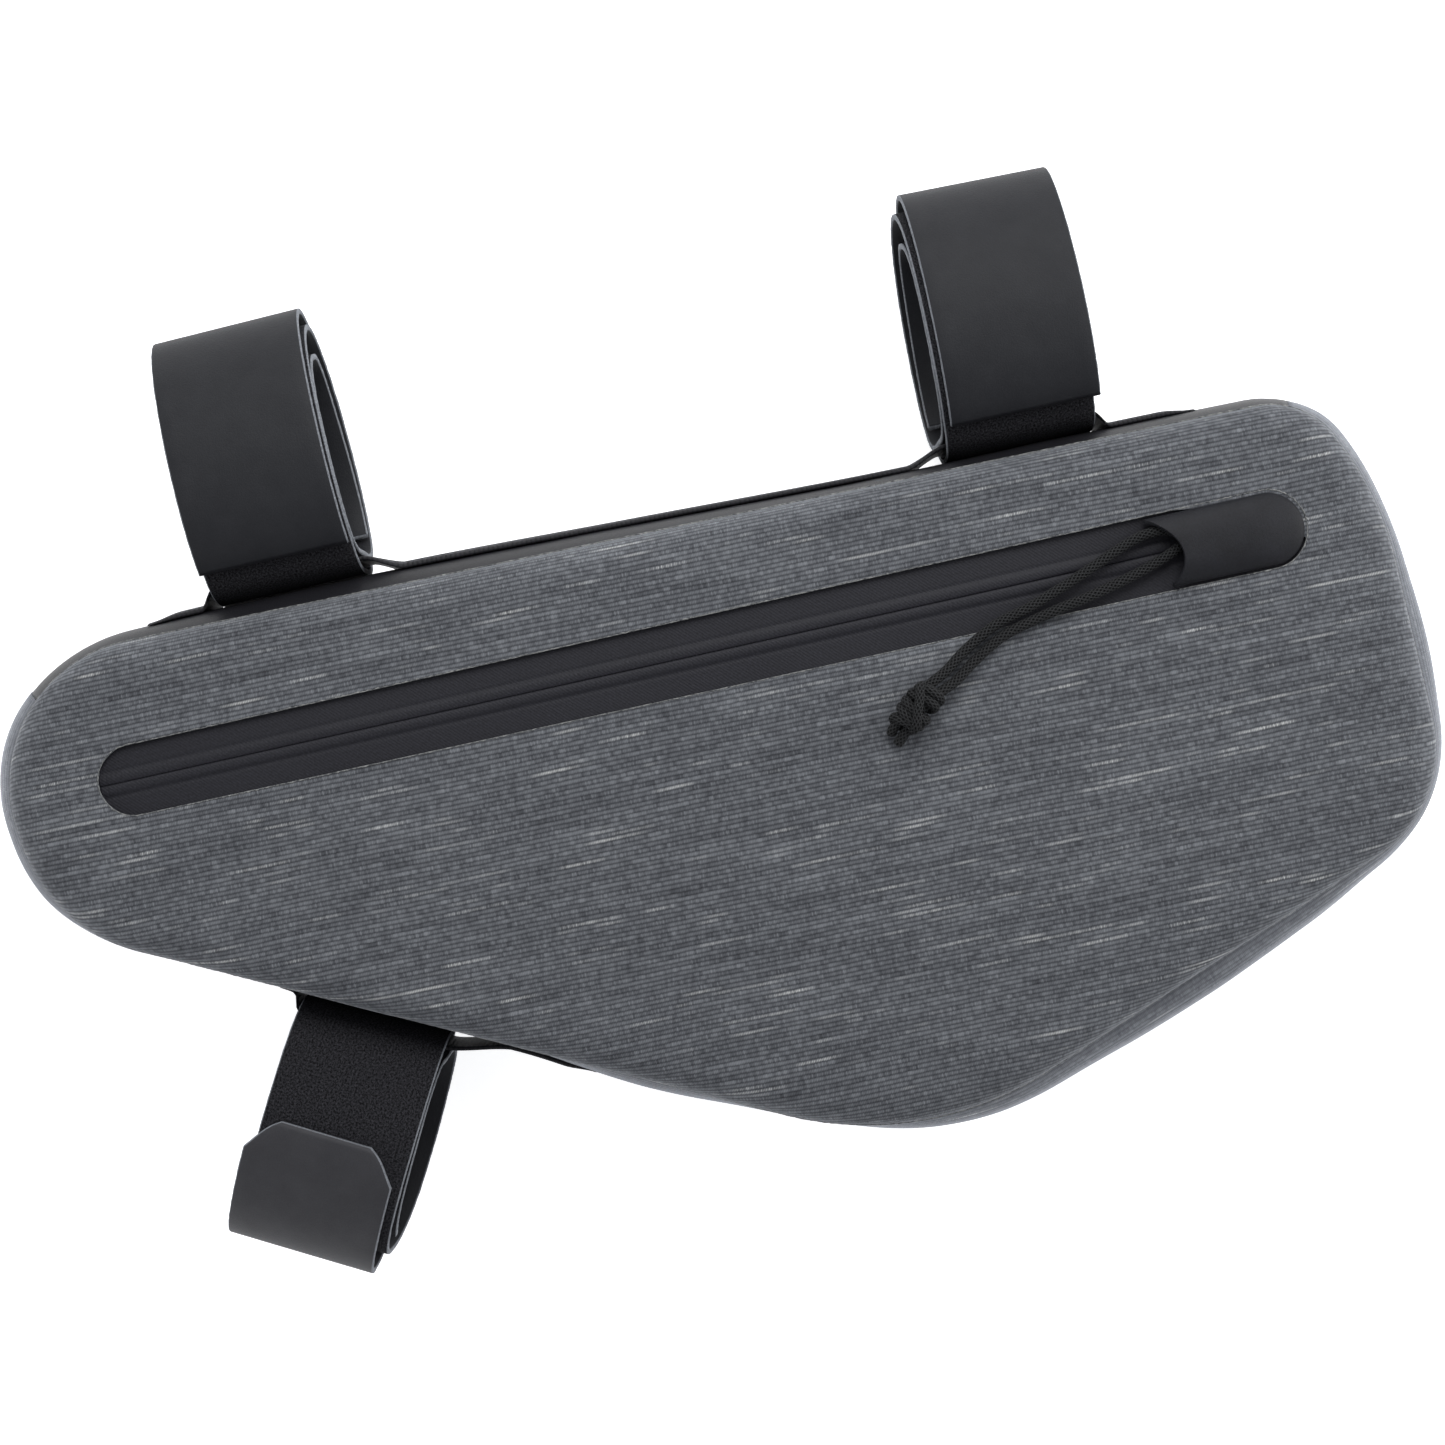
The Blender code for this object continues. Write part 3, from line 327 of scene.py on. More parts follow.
def braidedPolyester():
    # Braided polyester cord: crossing yarn bundles with painted shade in the gaps between them, dyed in the
    # yarn, matt, a little hairy
    made, tree, shader = newMaterial("braidedPolyesterCord")
    calc = partial(addMath, tree)
    along, around = weaveCoordinates(tree)[1:]
    turn = calc("MULTIPLY", along, 2 * math.pi / (pullCord["pickLength"] / mm))
    ring = calc("MULTIPLY", around, math.pi * pullCord["bundles"])
    one = calc("ABSOLUTE", calc("COSINE", calc("ADD", ring, turn)))
    other = calc("ABSOLUTE", calc("COSINE", calc("SUBTRACT", ring, turn)))
    crown = calc("POWER", calc("MAXIMUM", one, other), 2.2)
    spot = addNode(tree, "ShaderNodeCombineXYZ", links={0: along, 1: calc("MULTIPLY", around, 9.4)})
    yarn = addNoise(tree, spot.outputs[0], 3.0, 4.0, 0.7).outputs[0]
    # painted shade: the colour goes near black in the gaps between the yarn bundles and lighter on their
    # crowns
    shade = calc("MULTIPLY", crown, calc("MULTIPLY_ADD", yarn, 1.2, 0.2))
    tint = addRamp(tree, shade, 0.30, "#040405", 1.0, "#2f3031")
    height = calc("ADD", crown, calc("MULTIPLY", yarn, 0.5))
    bump = addBump(tree, 1.0, 0.2 * mm, height)
    finishSurface(tree, shader, tint.outputs[0], bump, roughness=0.8, specular=0.18)
    return made


cordMaterial = braidedPolyester()
cords = {}
for strand, node in (("upper", "pull_cord_upper"), ("lower", "pull_cord_lower")):
    route = [(x * mm, y * mm, float(faceHeight(x * mm, y * mm)) + h * mm) for x, y, h in pullCord[strand]]
    tube, line, length = braidedTube("pullCord" + strand.capitalize(), route, cordMaterial, pullCord)
    dress(tube, "cord_black", node)
    cords[strand] = (tube, line, length)


# every point is millimetres along the knot, degrees round it, and millimetres out from its middle line
knot = {
    "middleHeight": 4.9, "flatten": 0.86, "ringPoints": 24, "ringTurn": 372, "wrapRadius": 1.42,
    # along, slant, ring radius and start angle of each turn of the doubled cord
    "wraps": [(4.7, 1.3, 3.15, 10), (2.3, 1.3, 3.45, 20), (-0.7, -0.9, 3.65, 200), (-3.0, -0.9, 3.45, 190),
              (-5.3, 1.2, 2.75, 30)],
    # cord radius, then the points; one strand slants back over the top, and two cut tails stick out
    "crossing": (1.35, (5.6, 8, 2.6), (4.6, 46, 4.6), (2.2, 74, 5.1), (-0.9, 96, 5.15), (-3.6, 124, 4.7),
                 (-5.2, 158, 3.2)),
    "core": (2.6, (7.2, 60, 1.2), (3.0, 90, 0.6), (-2.0, 90, 0.2), (-5.6, 250, 0.6)),
    "tail": (1.5, (-4.6, 170, 1.6), (-6.8, 196, 2.0), (-8.7, 214, 2.7), (-10.6, 226, 3.6)),
    "shortTail": (1.45, (-4.4, 20, 1.2), (-6.6, 345, 1.3), (-8.4, 300, 2.0), (-9.6, 275, 3.0)),
}


def knotPieces():
    # An overhand knot in the doubled cord: its turns, one slanted crossing, a filled core and the cut tails
    heading = math.radians(pullCord["knotHeading"])
    ahead = np.array([math.cos(heading), math.sin(heading), 0])
    aside = np.array([-ahead[1], ahead[0], 0])
    x, y = pullCord["knotMiddle"][0] * mm, pullCord["knotMiddle"][1] * mm
    middle = np.array([x, y, float(faceHeight(x, y)) + knot["middleHeight"] * mm])
    lift = np.array([0, 0, 1])

    def place(along, angle, out):
        a = math.radians(angle)
        return tuple(middle + ahead * along * mm + aside * math.cos(a) * out * mm
                     + lift * math.sin(a) * out * knot["flatten"] * mm)

    paths = []
    for along, slant, out, start in knot["wraps"]:
        ring = []
        for k in range(knot["ringPoints"] + 1):
            share = k / knot["ringPoints"]
            angle = start + knot["ringTurn"] * share
            sway = slant * math.sin(math.radians(angle - 35)) + 0.9 * (share - 0.5)
            ring.append(place(along + sway, angle,
                              out + 0.18 * math.sin(math.radians(3 * angle + 40 * along))))
        paths.append((ring, knot["wrapRadius"]))
    for radius, *points in (knot["crossing"], knot["core"], knot["tail"], knot["shortTail"]):
        paths.append(([place(*point) for point in points], radius))
    made = []
    for k, (path, radius) in enumerate(paths):
        tube, _, _ = braidedTube(f"pullKnotStrand{k + 1}", path, cordMaterial, pullCord, radius=radius * mm)
        made.append(tube)
    return made


knotParts = knotPieces()
for part in knotParts:
    dress(part, "cord_black")
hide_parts("pull_cord_knot")
for strand in ("upper", "lower"):
    tube, line, length = cords[strand]
print("pull cord and knot")


def slubRibCloth(name, settings):
    # Polyester rib cloth woven with slub yarn, laminated on foam: matt with a faint cool sheen on the
    # rolls, each cross rib its own shade, broken by fine warp ticks and by pale slubs that run along it
    made, tree, shader = newMaterial(name)
    calc = partial(addMath, tree)
    along, across = weaveCoordinates(tree)[1:]

    def noiseAt(x, y, detail, roughness=0.55):
        spot = addNode(tree, "ShaderNodeCombineXYZ", links={0: x, 1: y})
        return addNoise(tree, spot.outputs[0], 1.0, detail, roughness).outputs[0]

    def stretched(sx, sy, detail, roughness=0.55):
        return noiseAt(calc("MULTIPLY", along, 1 / sx), calc("MULTIPLY", across, 1 / sy),
                       detail, roughness)

    wander = calc("MULTIPLY", calc("SUBTRACT", stretched(70, 40, 1), 0.5), settings["wander"])
    quiver = calc("MULTIPLY", calc("SUBTRACT", stretched(5, 2.2, 2), 0.5), settings["quiver"])
    rows = calc("MULTIPLY", calc("ADD", calc("ADD", across, wander), quiver),
                   1 / settings["rib"])
    row = calc("FLOOR", rows)
    within = calc("FRACT", rows)
    crown = calc("POWER", calc("SINE", calc("MULTIPLY", within, math.pi)), 0.75)
    rowSeed = calc("MULTIPLY", row, 5.37)
    # warp threads: each rib is crossed a little out of step with the last
    threads = calc("ADD", calc("MULTIPLY", along, 1 / settings["thread"]), rowSeed)
    tick = calc("SINE", calc("MULTIPLY", calc("FRACT", threads), math.pi))
    tickShade = noiseAt(calc("FLOOR", threads), rowSeed, 0)
    rowShade = noiseAt(calc("MULTIPLY", along, 1 / 26), rowSeed, 2)
    rowFleck = noiseAt(calc("MULTIPLY", along, 1 / 2.4), rowSeed, 3, 0.7)
    slubNoise = noiseAt(calc("MULTIPLY", along, 1 / 26), calc("MULTIPLY", row, 3.71), 2, 0.5)
    patches = stretched(38, 12, 2)
    slub = calc("ADD", slubNoise, calc("MULTIPLY", calc("SUBTRACT", patches, 0.5), 0.30))
    slub = addNode(tree, "ShaderNodeMapRange", {1: 0.605, 2: 0.74, 3: 0.0, 4: 1.0}, {0: slub}).outputs[0]
    slub = calc("MULTIPLY", slub, calc("POWER", tick, 1.6))
    slub = calc("MULTIPLY", slub, calc("POWER", crown, 3.0))  # one yarn, not the whole rib
    slub = calc("MULTIPLY", slub, calc("MULTIPLY_ADD", tickShade, 1.6, -0.1))
    # painted light and shade: the rib profile (crown) and the warp thread profile (tick) make the colour
    # lighter on the rib crests, a painted highlight, and darker in the furrows, painted shade
    value = calc("MULTIPLY_ADD", crown, settings["ribPaintedShade"], 0.5 - 0.62 * settings["ribPaintedShade"])
    for term, weight in ((rowShade, 0.42), (rowFleck, 0.62), (tickShade, 0.40), (tick, 0.20),
                         (patches, 0.16)):
        value = calc("MULTIPLY_ADD", calc("SUBTRACT", term, 0.5), weight, value)
    ramp = addNode(tree, "ShaderNodeValToRGB", links={0: value})
    stops = ramp.color_ramp.elements
    stops[0].position, stops[0].color = 0.12, hexColor(settings["furrowPaintedShade"])
    stops[1].position, stops[1].color = 0.95, hexColor(settings["crestPaintedLight"])
    stops.new(0.5).color = hexColor(settings["shade"])
    cloth = addNode(tree, "ShaderNodeMix", {7: hexColor(settings["slub"])}, {0: slub, 6: ramp.outputs[0]},
                    data_type="RGBA", clamp_factor=True)
    height = calc("ADD", calc("MULTIPLY", crown, 0.8), calc("MULTIPLY", tick, 0.22))
    height = calc("ADD", height, calc("MULTIPLY", rowFleck, 0.35))
    height = calc("ADD", height, calc("MULTIPLY", slub, 0.25))
    bump = addBump(tree, settings["relief"], 0.2 * mm, height)
    finishSurface(tree, shader, cloth.outputs[2], bump, roughness=0.8, specular=0.12)
    shader.inputs["Sheen Weight"].default_value = settings["sheen"]
    shader.inputs["Sheen Roughness"].default_value = 0.35
    shader.inputs["Sheen Tint"].default_value = hexColor("#e4e9f1")
    return made


def coatedCloth(name, dark, light, pitch, gloss, relief):
    # Woven nylon under a smooth polyurethane coat: the weave shows only as a fine grain in the gloss
    made, tree, shader = newMaterial(name)
    uv = weaveCoordinates(tree)[0]
    grain = addNoise(tree, uv, 1 / pitch, 3.0, 0.6)
    wear = addNoise(tree, uv, 0.06, 4.0, 0.6)
    basket = addNode(tree, "ShaderNodeTexVoronoi", {"Scale": 0.9 / pitch, "Randomness": 0.35},
                     {"Vector": uv},
                     feature="F1", distance="MANHATTAN")
    tint = addTint(tree, wear.outputs[0], dark, light)
    tree.links.new(tint.outputs[2], shader.inputs["Base Color"])
    height = addNode(tree, "ShaderNodeMath", {1: 0.7}, {0: basket.outputs[0], 2: grain.outputs[0]},
                     operation="MULTIPLY_ADD")
    bump = addBump(tree, 0.55, relief, height.outputs[0])
    rough = addNode(tree, "ShaderNodeMapRange", {1: 0.3, 2: 0.7, 3: gloss - 0.05, 4: gloss + 0.07},
                    {0: grain.outputs[0]})
    tree.links.new(rough.outputs[0], shader.inputs["Roughness"])
    tree.links.new(bump.outputs[0], shader.inputs["Normal"])
    shader.inputs["Specular IOR Level"].default_value = 0.25
    return made


# the furrow colour is painted shade in the rib furrows and the crest colour a painted highlight on the rib
# tops
slubCloth = {
    "rib": 1.20, "thread": 0.44, "wander": 1.6, "quiver": 0.24, "ribPaintedShade": 0.34, "relief": 0.42,
    "sheen": 0.16,
    "furrowPaintedShade": "#222326", "shade": "#46484c", "crestPaintedLight": "#777a7e", "slub": "#c9cac7",
}
clothFront = slubRibCloth("slubRibPolyester", slubCloth)
# a lighter copy of the same cloth for the side walls: its paler furrow and mid colours are painted light
# for the glow the walls catch at a grazing angle; its sheen is the shader's own
clothSidePaintedLighter = slubRibCloth("slubRibPolyesterSidePaintedLighter", {**slubCloth, "ribPaintedShade": 0.2, "relief": 0.3, "sheen": 0.5,
                                                  "furrowPaintedShade": "#34363a", "shade": "#505257"})
gussetBlack = coatedCloth("polyurethaneCoatedNylon", "#111114", "#1a1a1e", 0.5, 0.5, 0.05 * mm)


def wovenWebbing():
    # Black nylon webbing: close rounded ribs across the band, a lock-stitched row sunk near each selvedge
    settings = {"rib": 1.3, "stitchFromMiddle": 10.3, "stitch": 3.2, "stitchWidth": 0.4}
    made, tree, shader = newMaterial("wovenNylonWebbing")
    calc = partial(addMath, tree)
    uv, along, across = weaveCoordinates(tree)
    ribs = calc("ABSOLUTE", calc("SINE", calc("MULTIPLY", along, math.pi / settings["rib"])))
    yarn = addNoise(tree, uv, 2.2, 4.0, 0.7).outputs[0]
    row = calc("ABSOLUTE", calc("SUBTRACT", calc("ABSOLUTE", across),
                                            settings["stitchFromMiddle"]))
    near = calc("LESS_THAN", row, settings["stitchWidth"])
    dash = calc("LESS_THAN", calc("FRACT", calc("MULTIPLY", along, 1 / settings["stitch"])),
                   0.68)
    thread = calc("MULTIPLY", near, dash)
    # painted shade: the colour darkens in the troughs between the ribs and lightens on the rib tops
    shade = calc("MULTIPLY", calc("MULTIPLY_ADD", ribs, 0.6, 0.3), calc("ADD", yarn, 0.4))
    tint = addTint(tree, shade, "#09090b", "#222226")
    sewn = addNode(tree, "ShaderNodeMix", {7: hexColor("#34343a")}, {0: thread, 6: tint.outputs[2]},
                   data_type="RGBA")
    height = calc("ADD", calc("MULTIPLY", ribs, 0.7), calc("MULTIPLY", yarn, 0.4))
    height = calc("SUBTRACT", height, calc("MULTIPLY", near, 0.9))
    height = calc("ADD", height, calc("MULTIPLY", thread, 1.3))
    bump = addBump(tree, 0.8, 0.22 * mm, height)
    finishSurface(tree, shader, sewn.outputs[2], bump, roughness=0.62, specular=0.22)
    return made


webbingBlack = wovenWebbing()
print("cloth materials")


# Outline of the face, sampled by distance

def outlineSamples(step):
    corners = [Vector((a * body["length"], u * body["height"])) for _, a, u, _ in body["corners"]]
    count = len(corners)
    arcs = []
    for i, corner in enumerate(corners):
        before = (corner - corners[i - 1]).normalized()
        after = (corners[(i + 1) % count] - corner).normalized()
        turn = math.acos(before.dot(after))
        radius = body["corners"][i][3] * body["height"]
        reach = radius * math.tan(turn / 2)
        start = corner - before * reach
        arcs.append((start, corner + after * reach, start + radius * Vector((-before.y, before.x)), radius,
                     math.atan2(-before.x, before.y), turn))
    pieces, total = [], 0.0
    for i, arc in enumerate(arcs):
        pieces.append(("arc", total, arc[3] * arc[5], arc))
        total += arc[3] * arc[5]
        run = arcs[(i + 1) % count][0] - arc[1]
        pieces.append(("run", total, run.length, (arc[1], run)))
        total += run.length
    count = int(round(total / step))
    first = body["swells"][0][0]
    stops = [share for share, _ in body["swells"]] + [first + 1]
    swells = [swell * mm for _, swell in body["swells"]] + [body["swells"][0][1] * mm]
    rows = []
    for k in range(count):
        at = total * k / count
        kind, start, length, data = [p for p in pieces if p[1] <= at + 1e-12][-1]
        if kind == "arc":
            angle = data[4] + (at - start) / data[3]
            outward = Vector((math.cos(angle), math.sin(angle)))
            point = data[2] + outward * data[3]
        else:
            heading = data[1].normalized()
            outward = Vector((heading.y, -heading.x))
            point = data[0] + heading * (at - start)
        swell = eased(stops, swells, first + (at / total - first) % 1)
        rows.append((at, point.x, point.y, outward.x, outward.y, swell))
    return np.array(rows), total, pieces


rim, rimLength, rimPieces = outlineSamples(1.5 * mm)
rimXY, rimOut = rim[:, 1:3], rim[:, 3:5]

zipSlot = {
    "middle": (1.8 * mm, 49.0 * mm), "tilt": math.radians(0.45), "length": 325.4 * mm,
    "noseWidth": 18.8 * mm, "tailWidth": 21.0 * mm, "recess": 0.9 * mm, "lip": 1.5 * mm,
}


def slotEnds():
    # Radius and centre of the slot's round ends, nose and tail
    rn, rt = zipSlot["noseWidth"] / 2, zipSlot["tailWidth"] / 2
    return rn, rt, -zipSlot["length"] / 2 + rn, zipSlot["length"] / 2 - rt


def slotHalf(along):
    # Half the slot's width at distances along it, round ends included
    along = np.asarray(along, dtype=float)
    rn, rt, cn, ct = slotEnds()
    middle = rn + (along - cn) / (ct - cn) * (rt - rn)
    nose = np.sqrt(np.maximum(0, rn ** 2 - (along - cn) ** 2))
    tail = np.sqrt(np.maximum(0, rt ** 2 - (along - ct) ** 2))
    return np.where(along < cn, nose, np.where(along > ct, tail, middle))


def slotToRow(along, across):
    c, s = math.cos(zipSlot["tilt"]), math.sin(zipSlot["tilt"])
    return (zipSlot["middle"][0] + along * c - across * s, zipSlot["middle"][1] + along * s + across * c)


def slotRim(count):
    # Points round the slot's edge, anticlockwise from its nose end, at even spacing
    rn, rt, cn, ct = slotEnds()
    fine = []
    for a in np.linspace(math.pi, 1.5 * math.pi, 60):
        fine.append((cn + rn * math.cos(a), rn * math.sin(a)))
    for a in np.linspace(1.5 * math.pi, 2.5 * math.pi, 120):
        fine.append((ct + rt * math.cos(a), rt * math.sin(a)))
    for a in np.linspace(0.5 * math.pi, math.pi, 60):
        fine.append((cn + rn * math.cos(a), rn * math.sin(a)))
    fine = np.array(fine)
    walked = np.concatenate([[0], np.cumsum(np.linalg.norm(np.diff(fine, axis=0), axis=1))])
    stops = np.linspace(0, walked[-1], count, endpoint=False)
    return np.interp(stops, walked, fine[:, 0]), np.interp(stops, walked, fine[:, 1])


def rolledEdge(xy, out, bands, rise):
    # Rows of points over the panel's rolled edge from its seam inwards, with their cloth coordinates
    rows, uvs = [], []
    for k in range(bands + 1):
        a = math.pi / 2 * k / bands
        p = xy - out * body["roll"] * (1 - math.cos(a))
        arc = body["roll"] * (math.pi / 2 - a) - body["roll"] * math.cos(a)
        rows.append(np.column_stack([p, rise(p, body["roll"] * (1 - math.sin(a)))]))
        uvs.append((p + out * arc) / mm)
    return rows, uvs


def frontPanel():
    # The moulded front: a rolled edge, a soft crown with small hollows, and the cut slot
    settings = {"rollBands": 12, "fieldRings": 46, "hollow": 0.35 * mm, "edgeWobble": 0.12 * mm}
    # start the rim at its nose end so that it pairs with the slot's edge
    slotX, slotY = slotToRow(*slotRim(len(rim)))
    start = int(np.argmin(np.abs(rimXY[:, 1] - slotY[0]) + (rimXY[:, 0] > 0)))
    order = (np.arange(len(rim)) + start) % len(rim)
    xy, out = rimXY[order], rimOut[order]
    wobble = settings["edgeWobble"] * softNoise(slotX, slotY, 5, 3 * mm)
    slotX, slotY = slotX, slotY + wobble
    rows, uvs = rolledEdge(xy, out, settings["rollBands"],
                           lambda p, drop: faceHeight(p[:, 0], p[:, 1]) - drop)
    inner = rows[-1][:, :2]
    # rings between the rolled edge and the slot
    for k in range(1, settings["fieldRings"] + 1):
        t = k / settings["fieldRings"]
        p = inner * (1 - t) + np.column_stack([slotX, slotY]) * t
        z = faceHeight(p[:, 0], p[:, 1])
        fade = np.minimum(1, 6 * t) * np.minimum(1, 6 * (1 - t))
        z = z + settings["hollow"] * fade * (softNoise(p[:, 0], p[:, 1], 2, 46 * mm)
                                             + 0.4 * softNoise(p[:, 0], p[:, 1], 3, 19 * mm))
        rows.append(np.column_stack([p, z]))
        uvs.append(p / mm)
    edge = rows[-1].copy()
    # the cut edge turns down into the slot
    for drop in (0.25, 0.8, 1.9):
        dip = edge.copy()
        dip[:, 2] -= drop * mm
        rows.append(dip)
        uvs.append(edge[:, :2] / mm + (0, drop))
    points, weave = np.stack(rows, axis=1), np.stack(uvs, axis=1)
    weave = np.concatenate([weave, weave[:1]], axis=0)
    made = gridMesh("frontPanelCloth", points, weave, clothFront, closedU=True)
    faceTowards(made, (0, 0, 1))
    return dress(made, "slub_cloth", "front_panel")


front = frontPanel()


def backPanel():
    # The plain back: a rolled edge round a flat sheet that the bag lies on
    settings = {"rollBands": 10, "rings": 14}
    middle = rimXY.mean(axis=0)
    rows, uvs = rolledEdge(rimXY, rimOut, settings["rollBands"], lambda p, lift: np.full(len(p), lift))
    inner = rows[-1][:, :2]
    for k in range(1, settings["rings"] + 1):
        t = 1 - k / settings["rings"]
        p = middle + (inner - middle) * max(t, 0.004)
        rows.append(np.column_stack([p, np.zeros(len(p))]))
        uvs.append(p / mm)
    points, weave = np.stack(rows, axis=1), np.stack(uvs, axis=1)
    weave = np.concatenate([weave, weave[:1]], axis=0)
    made = gridMesh("backPanelCloth", points, weave, clothFront, closedU=True)
    closeEnds(made, within=lambda spot: spot.z < 1e-6, outwards=False)
    faceTowards(made, (0, 0, -1))
    return dress(made, "slub_cloth", "back_panel")


back = backPanel()


wallEdges = (body["roll"] + body["seamGap"], body["depth"] - body["roll"] - body["seamGap"])


def gussetRise(z):
    low, high = wallEdges
    return np.maximum(0, 1 - np.abs(2 * (z - low) / (high - low) - 1) ** body["squareness"])


def cornerAt(index, share):
    piece = rimPieces[2 * index]
    return piece[1] + share * piece[2]


def gusset(name, start, end, material, slot, node, ripple):
    # A side wall between two distances round the rim, bulging between its seams
    low, high = wallEdges
    heights = low + (high - low) * (0.5 - 0.5 * np.cos(np.linspace(0, math.pi, 23)))
    stops = np.linspace(start, end, int((end - start) / (1.8 * mm)))
    at = np.concatenate([rim[:, 0] - rimLength, rim[:, 0], rim[:, 0] + rimLength])
    values = [np.interp(stops, at, np.tile(rim[:, k], 3)) for k in range(1, 6)]
    px, py, ox, oy, swell = values
    norm = np.hypot(ox, oy)
    ox, oy = ox / norm, oy / norm
    rows, uvs = [], []
    tuck = 1.1 * mm
    for z in np.concatenate([[low - tuck, low - 0.2 * mm], heights, [high + 0.2 * mm, high + tuck]]):
        inside = z < low or z > high  # the seam allowance, hidden behind the panels' edges
        rise = 0.0 if inside else gussetRise(z)
        lift = swell * rise + ripple * rise * (softNoise(stops, z + 0 * stops, 11, 38 * mm)
                                               + 0.5 * softNoise(stops, z + 0 * stops, 12, 14 * mm))
        if inside:
            lift = lift - tuck
        rows.append(np.column_stack([px + ox * lift, py + oy * lift, np.full(len(stops), z)]))
        uvs.append(np.column_stack([stops / mm, np.full(len(stops), z / mm)]))
    points, weave = np.stack(rows, axis=1), np.stack(uvs, axis=1)
    made = gridMesh(name, points, weave, material, thickness=1.2 * mm)
    faceTowards(made, (ox[len(ox) // 2], oy[len(oy) // 2], 0))
    return dress(made, slot, node)


tailEnd = cornerAt(5, 0.62)
noseEnd = rimLength + cornerAt(0, 0.45)
topWall = gusset("topSideWall", tailEnd, noseEnd, gussetBlack, "coated_black", "gusset_top", 0.25 * mm)
# the wrap-round wall wears the lighter copy of the cloth, whose paler colour is painted light
wrapWall = gusset("wrapSideWall", noseEnd + body["seamGap"] - rimLength, tailEnd - body["seamGap"],
                  clothSidePaintedLighter,
                  "slub_cloth", "gusset_wrap", 0.5 * mm)
print("panels and side walls")


def frayedClothEdge():
    # Cut and bonded edge of the slub cloth: loose pale filament ends, almost no gloss
    made, tree, shader = newMaterial("frayedClothEdge")
    uv = weaveCoordinates(tree)[0]
    fray = addNoise(tree, uv, 0.8, 5.0, 0.75)
    tint = addRamp(tree, fray.outputs[0], 0.38, "#323438", 0.66, "#8c8d8b")
    tree.links.new(tint.outputs[0], shader.inputs["Base Color"])
    shader.inputs["Roughness"].default_value = 0.9
    shader.inputs["Specular IOR Level"].default_value = 0.15
    return made


frayedEdge = frayedClothEdge()


def fineBead(name, spots, outward, walked, radii, shift, level, sides):
    # A fine uneven line of frayed cloth on a closed path; spots and outward hold x and y in two columns
    rows = []
    for k in range(sides):
        angle = 2 * math.pi * k / sides
        xy = spots + outward * (shift + radii * math.cos(angle))[:, None]
        rows.append(np.column_stack([xy, level(xy) + radii * math.sin(angle)]))
    uvs = [np.column_stack([walked, np.full(len(walked), 0.3 * k)]) for k in range(sides + 1)]
    made = gridMesh(name, np.stack(rows, axis=1), np.stack(uvs, axis=1), frayedEdge, closedU=True,
                    closedV=True)
    return dress(made, "slub_cloth")


def seamBead(name, height):
    # The cut edge of the panel cloth, standing on the seam
    settings = {"radius": 0.24 * mm, "outside": 0.10 * mm, "sides": 7}
    count = len(rim) * 2
    at = np.linspace(0, rimLength, count, endpoint=False)
    closed = np.vstack([rim, rim[:1]])
    closed[-1, 0] = rimLength
    grid = np.column_stack([np.interp(at, closed[:, 0], closed[:, k]) for k in range(1, 5)])
    radii = settings["radius"] * (0.7 + 0.6 * hashNoise(21, count))
    return fineBead(name, grid[:, :2], grid[:, 2:], np.append(at, rimLength) / mm, radii,
                    settings["outside"], lambda xy: height, settings["sides"])


def slotFray():
    # The slot is cut, not hemmed: a ragged line of filament ends runs all round it
    settings = {"radius": 0.17 * mm, "sides": 6, "count": 1500, "ragged": 0.16 * mm, "sunk": 0.02 * mm,
                "lengthRound": 690}
    x, y = slotToRow(*slotRim(settings["count"]))
    ahead = np.column_stack([np.roll(x, -1) - np.roll(x, 1), np.roll(y, -1) - np.roll(y, 1)])
    ahead /= np.linalg.norm(ahead, axis=1)[:, None]
    jitter = hashNoise(33, settings["count"])
    walked = np.linspace(0, settings["lengthRound"], settings["count"] + 1)
    return fineBead("slotFrayedEdge", np.column_stack([x, y]), np.column_stack([ahead[:, 1], -ahead[:, 0]]),
                    walked, settings["radius"] * (0.55 + 0.9 * jitter), settings["ragged"] * (jitter - 0.5),
                    lambda xy: faceHeight(xy[:, 0], xy[:, 1]) - settings["sunk"], settings["sides"])


slotFray()
seamBead("frontSeamEdge", body["depth"] - body["roll"] + 0.05 * mm)
seamBead("backSeamEdge", body["roll"] - 0.05 * mm)


# Zip

def zipFilm():
    # Zip tape under a matt polyurethane film: fine twill shows through over the closed coil
    made, tree, shader = newMaterial("filmLaminatedZipTape")
    uv = weaveCoordinates(tree)[0]
    ribs = addNode(tree, "ShaderNodeTexWave", {"Scale": 0.62, "Distortion": 1.4, "Detail": 2.0,
                                               "Detail Scale": 1.2},
                   {"Vector": uv}, wave_type="BANDS", bands_direction="DIAGONAL")
    speck = addNoise(tree, uv, 1.5, 4.0, 0.65)
    tint = addRamp(tree, speck.outputs[0], 0.3, "#17171b", 0.75, "#26262c")
    height = addNode(tree, "ShaderNodeMath", {1: 0.5}, {0: speck.outputs[0], 2: ribs.outputs[1]},
                     operation="MULTIPLY_ADD")
    bump = addBump(tree, 0.5, 0.07 * mm, height.outputs[0])
    finishSurface(tree, shader, tint.outputs[0], bump, roughness=0.6, specular=0.2)
    return made


zipTapeMaterial = zipFilm()


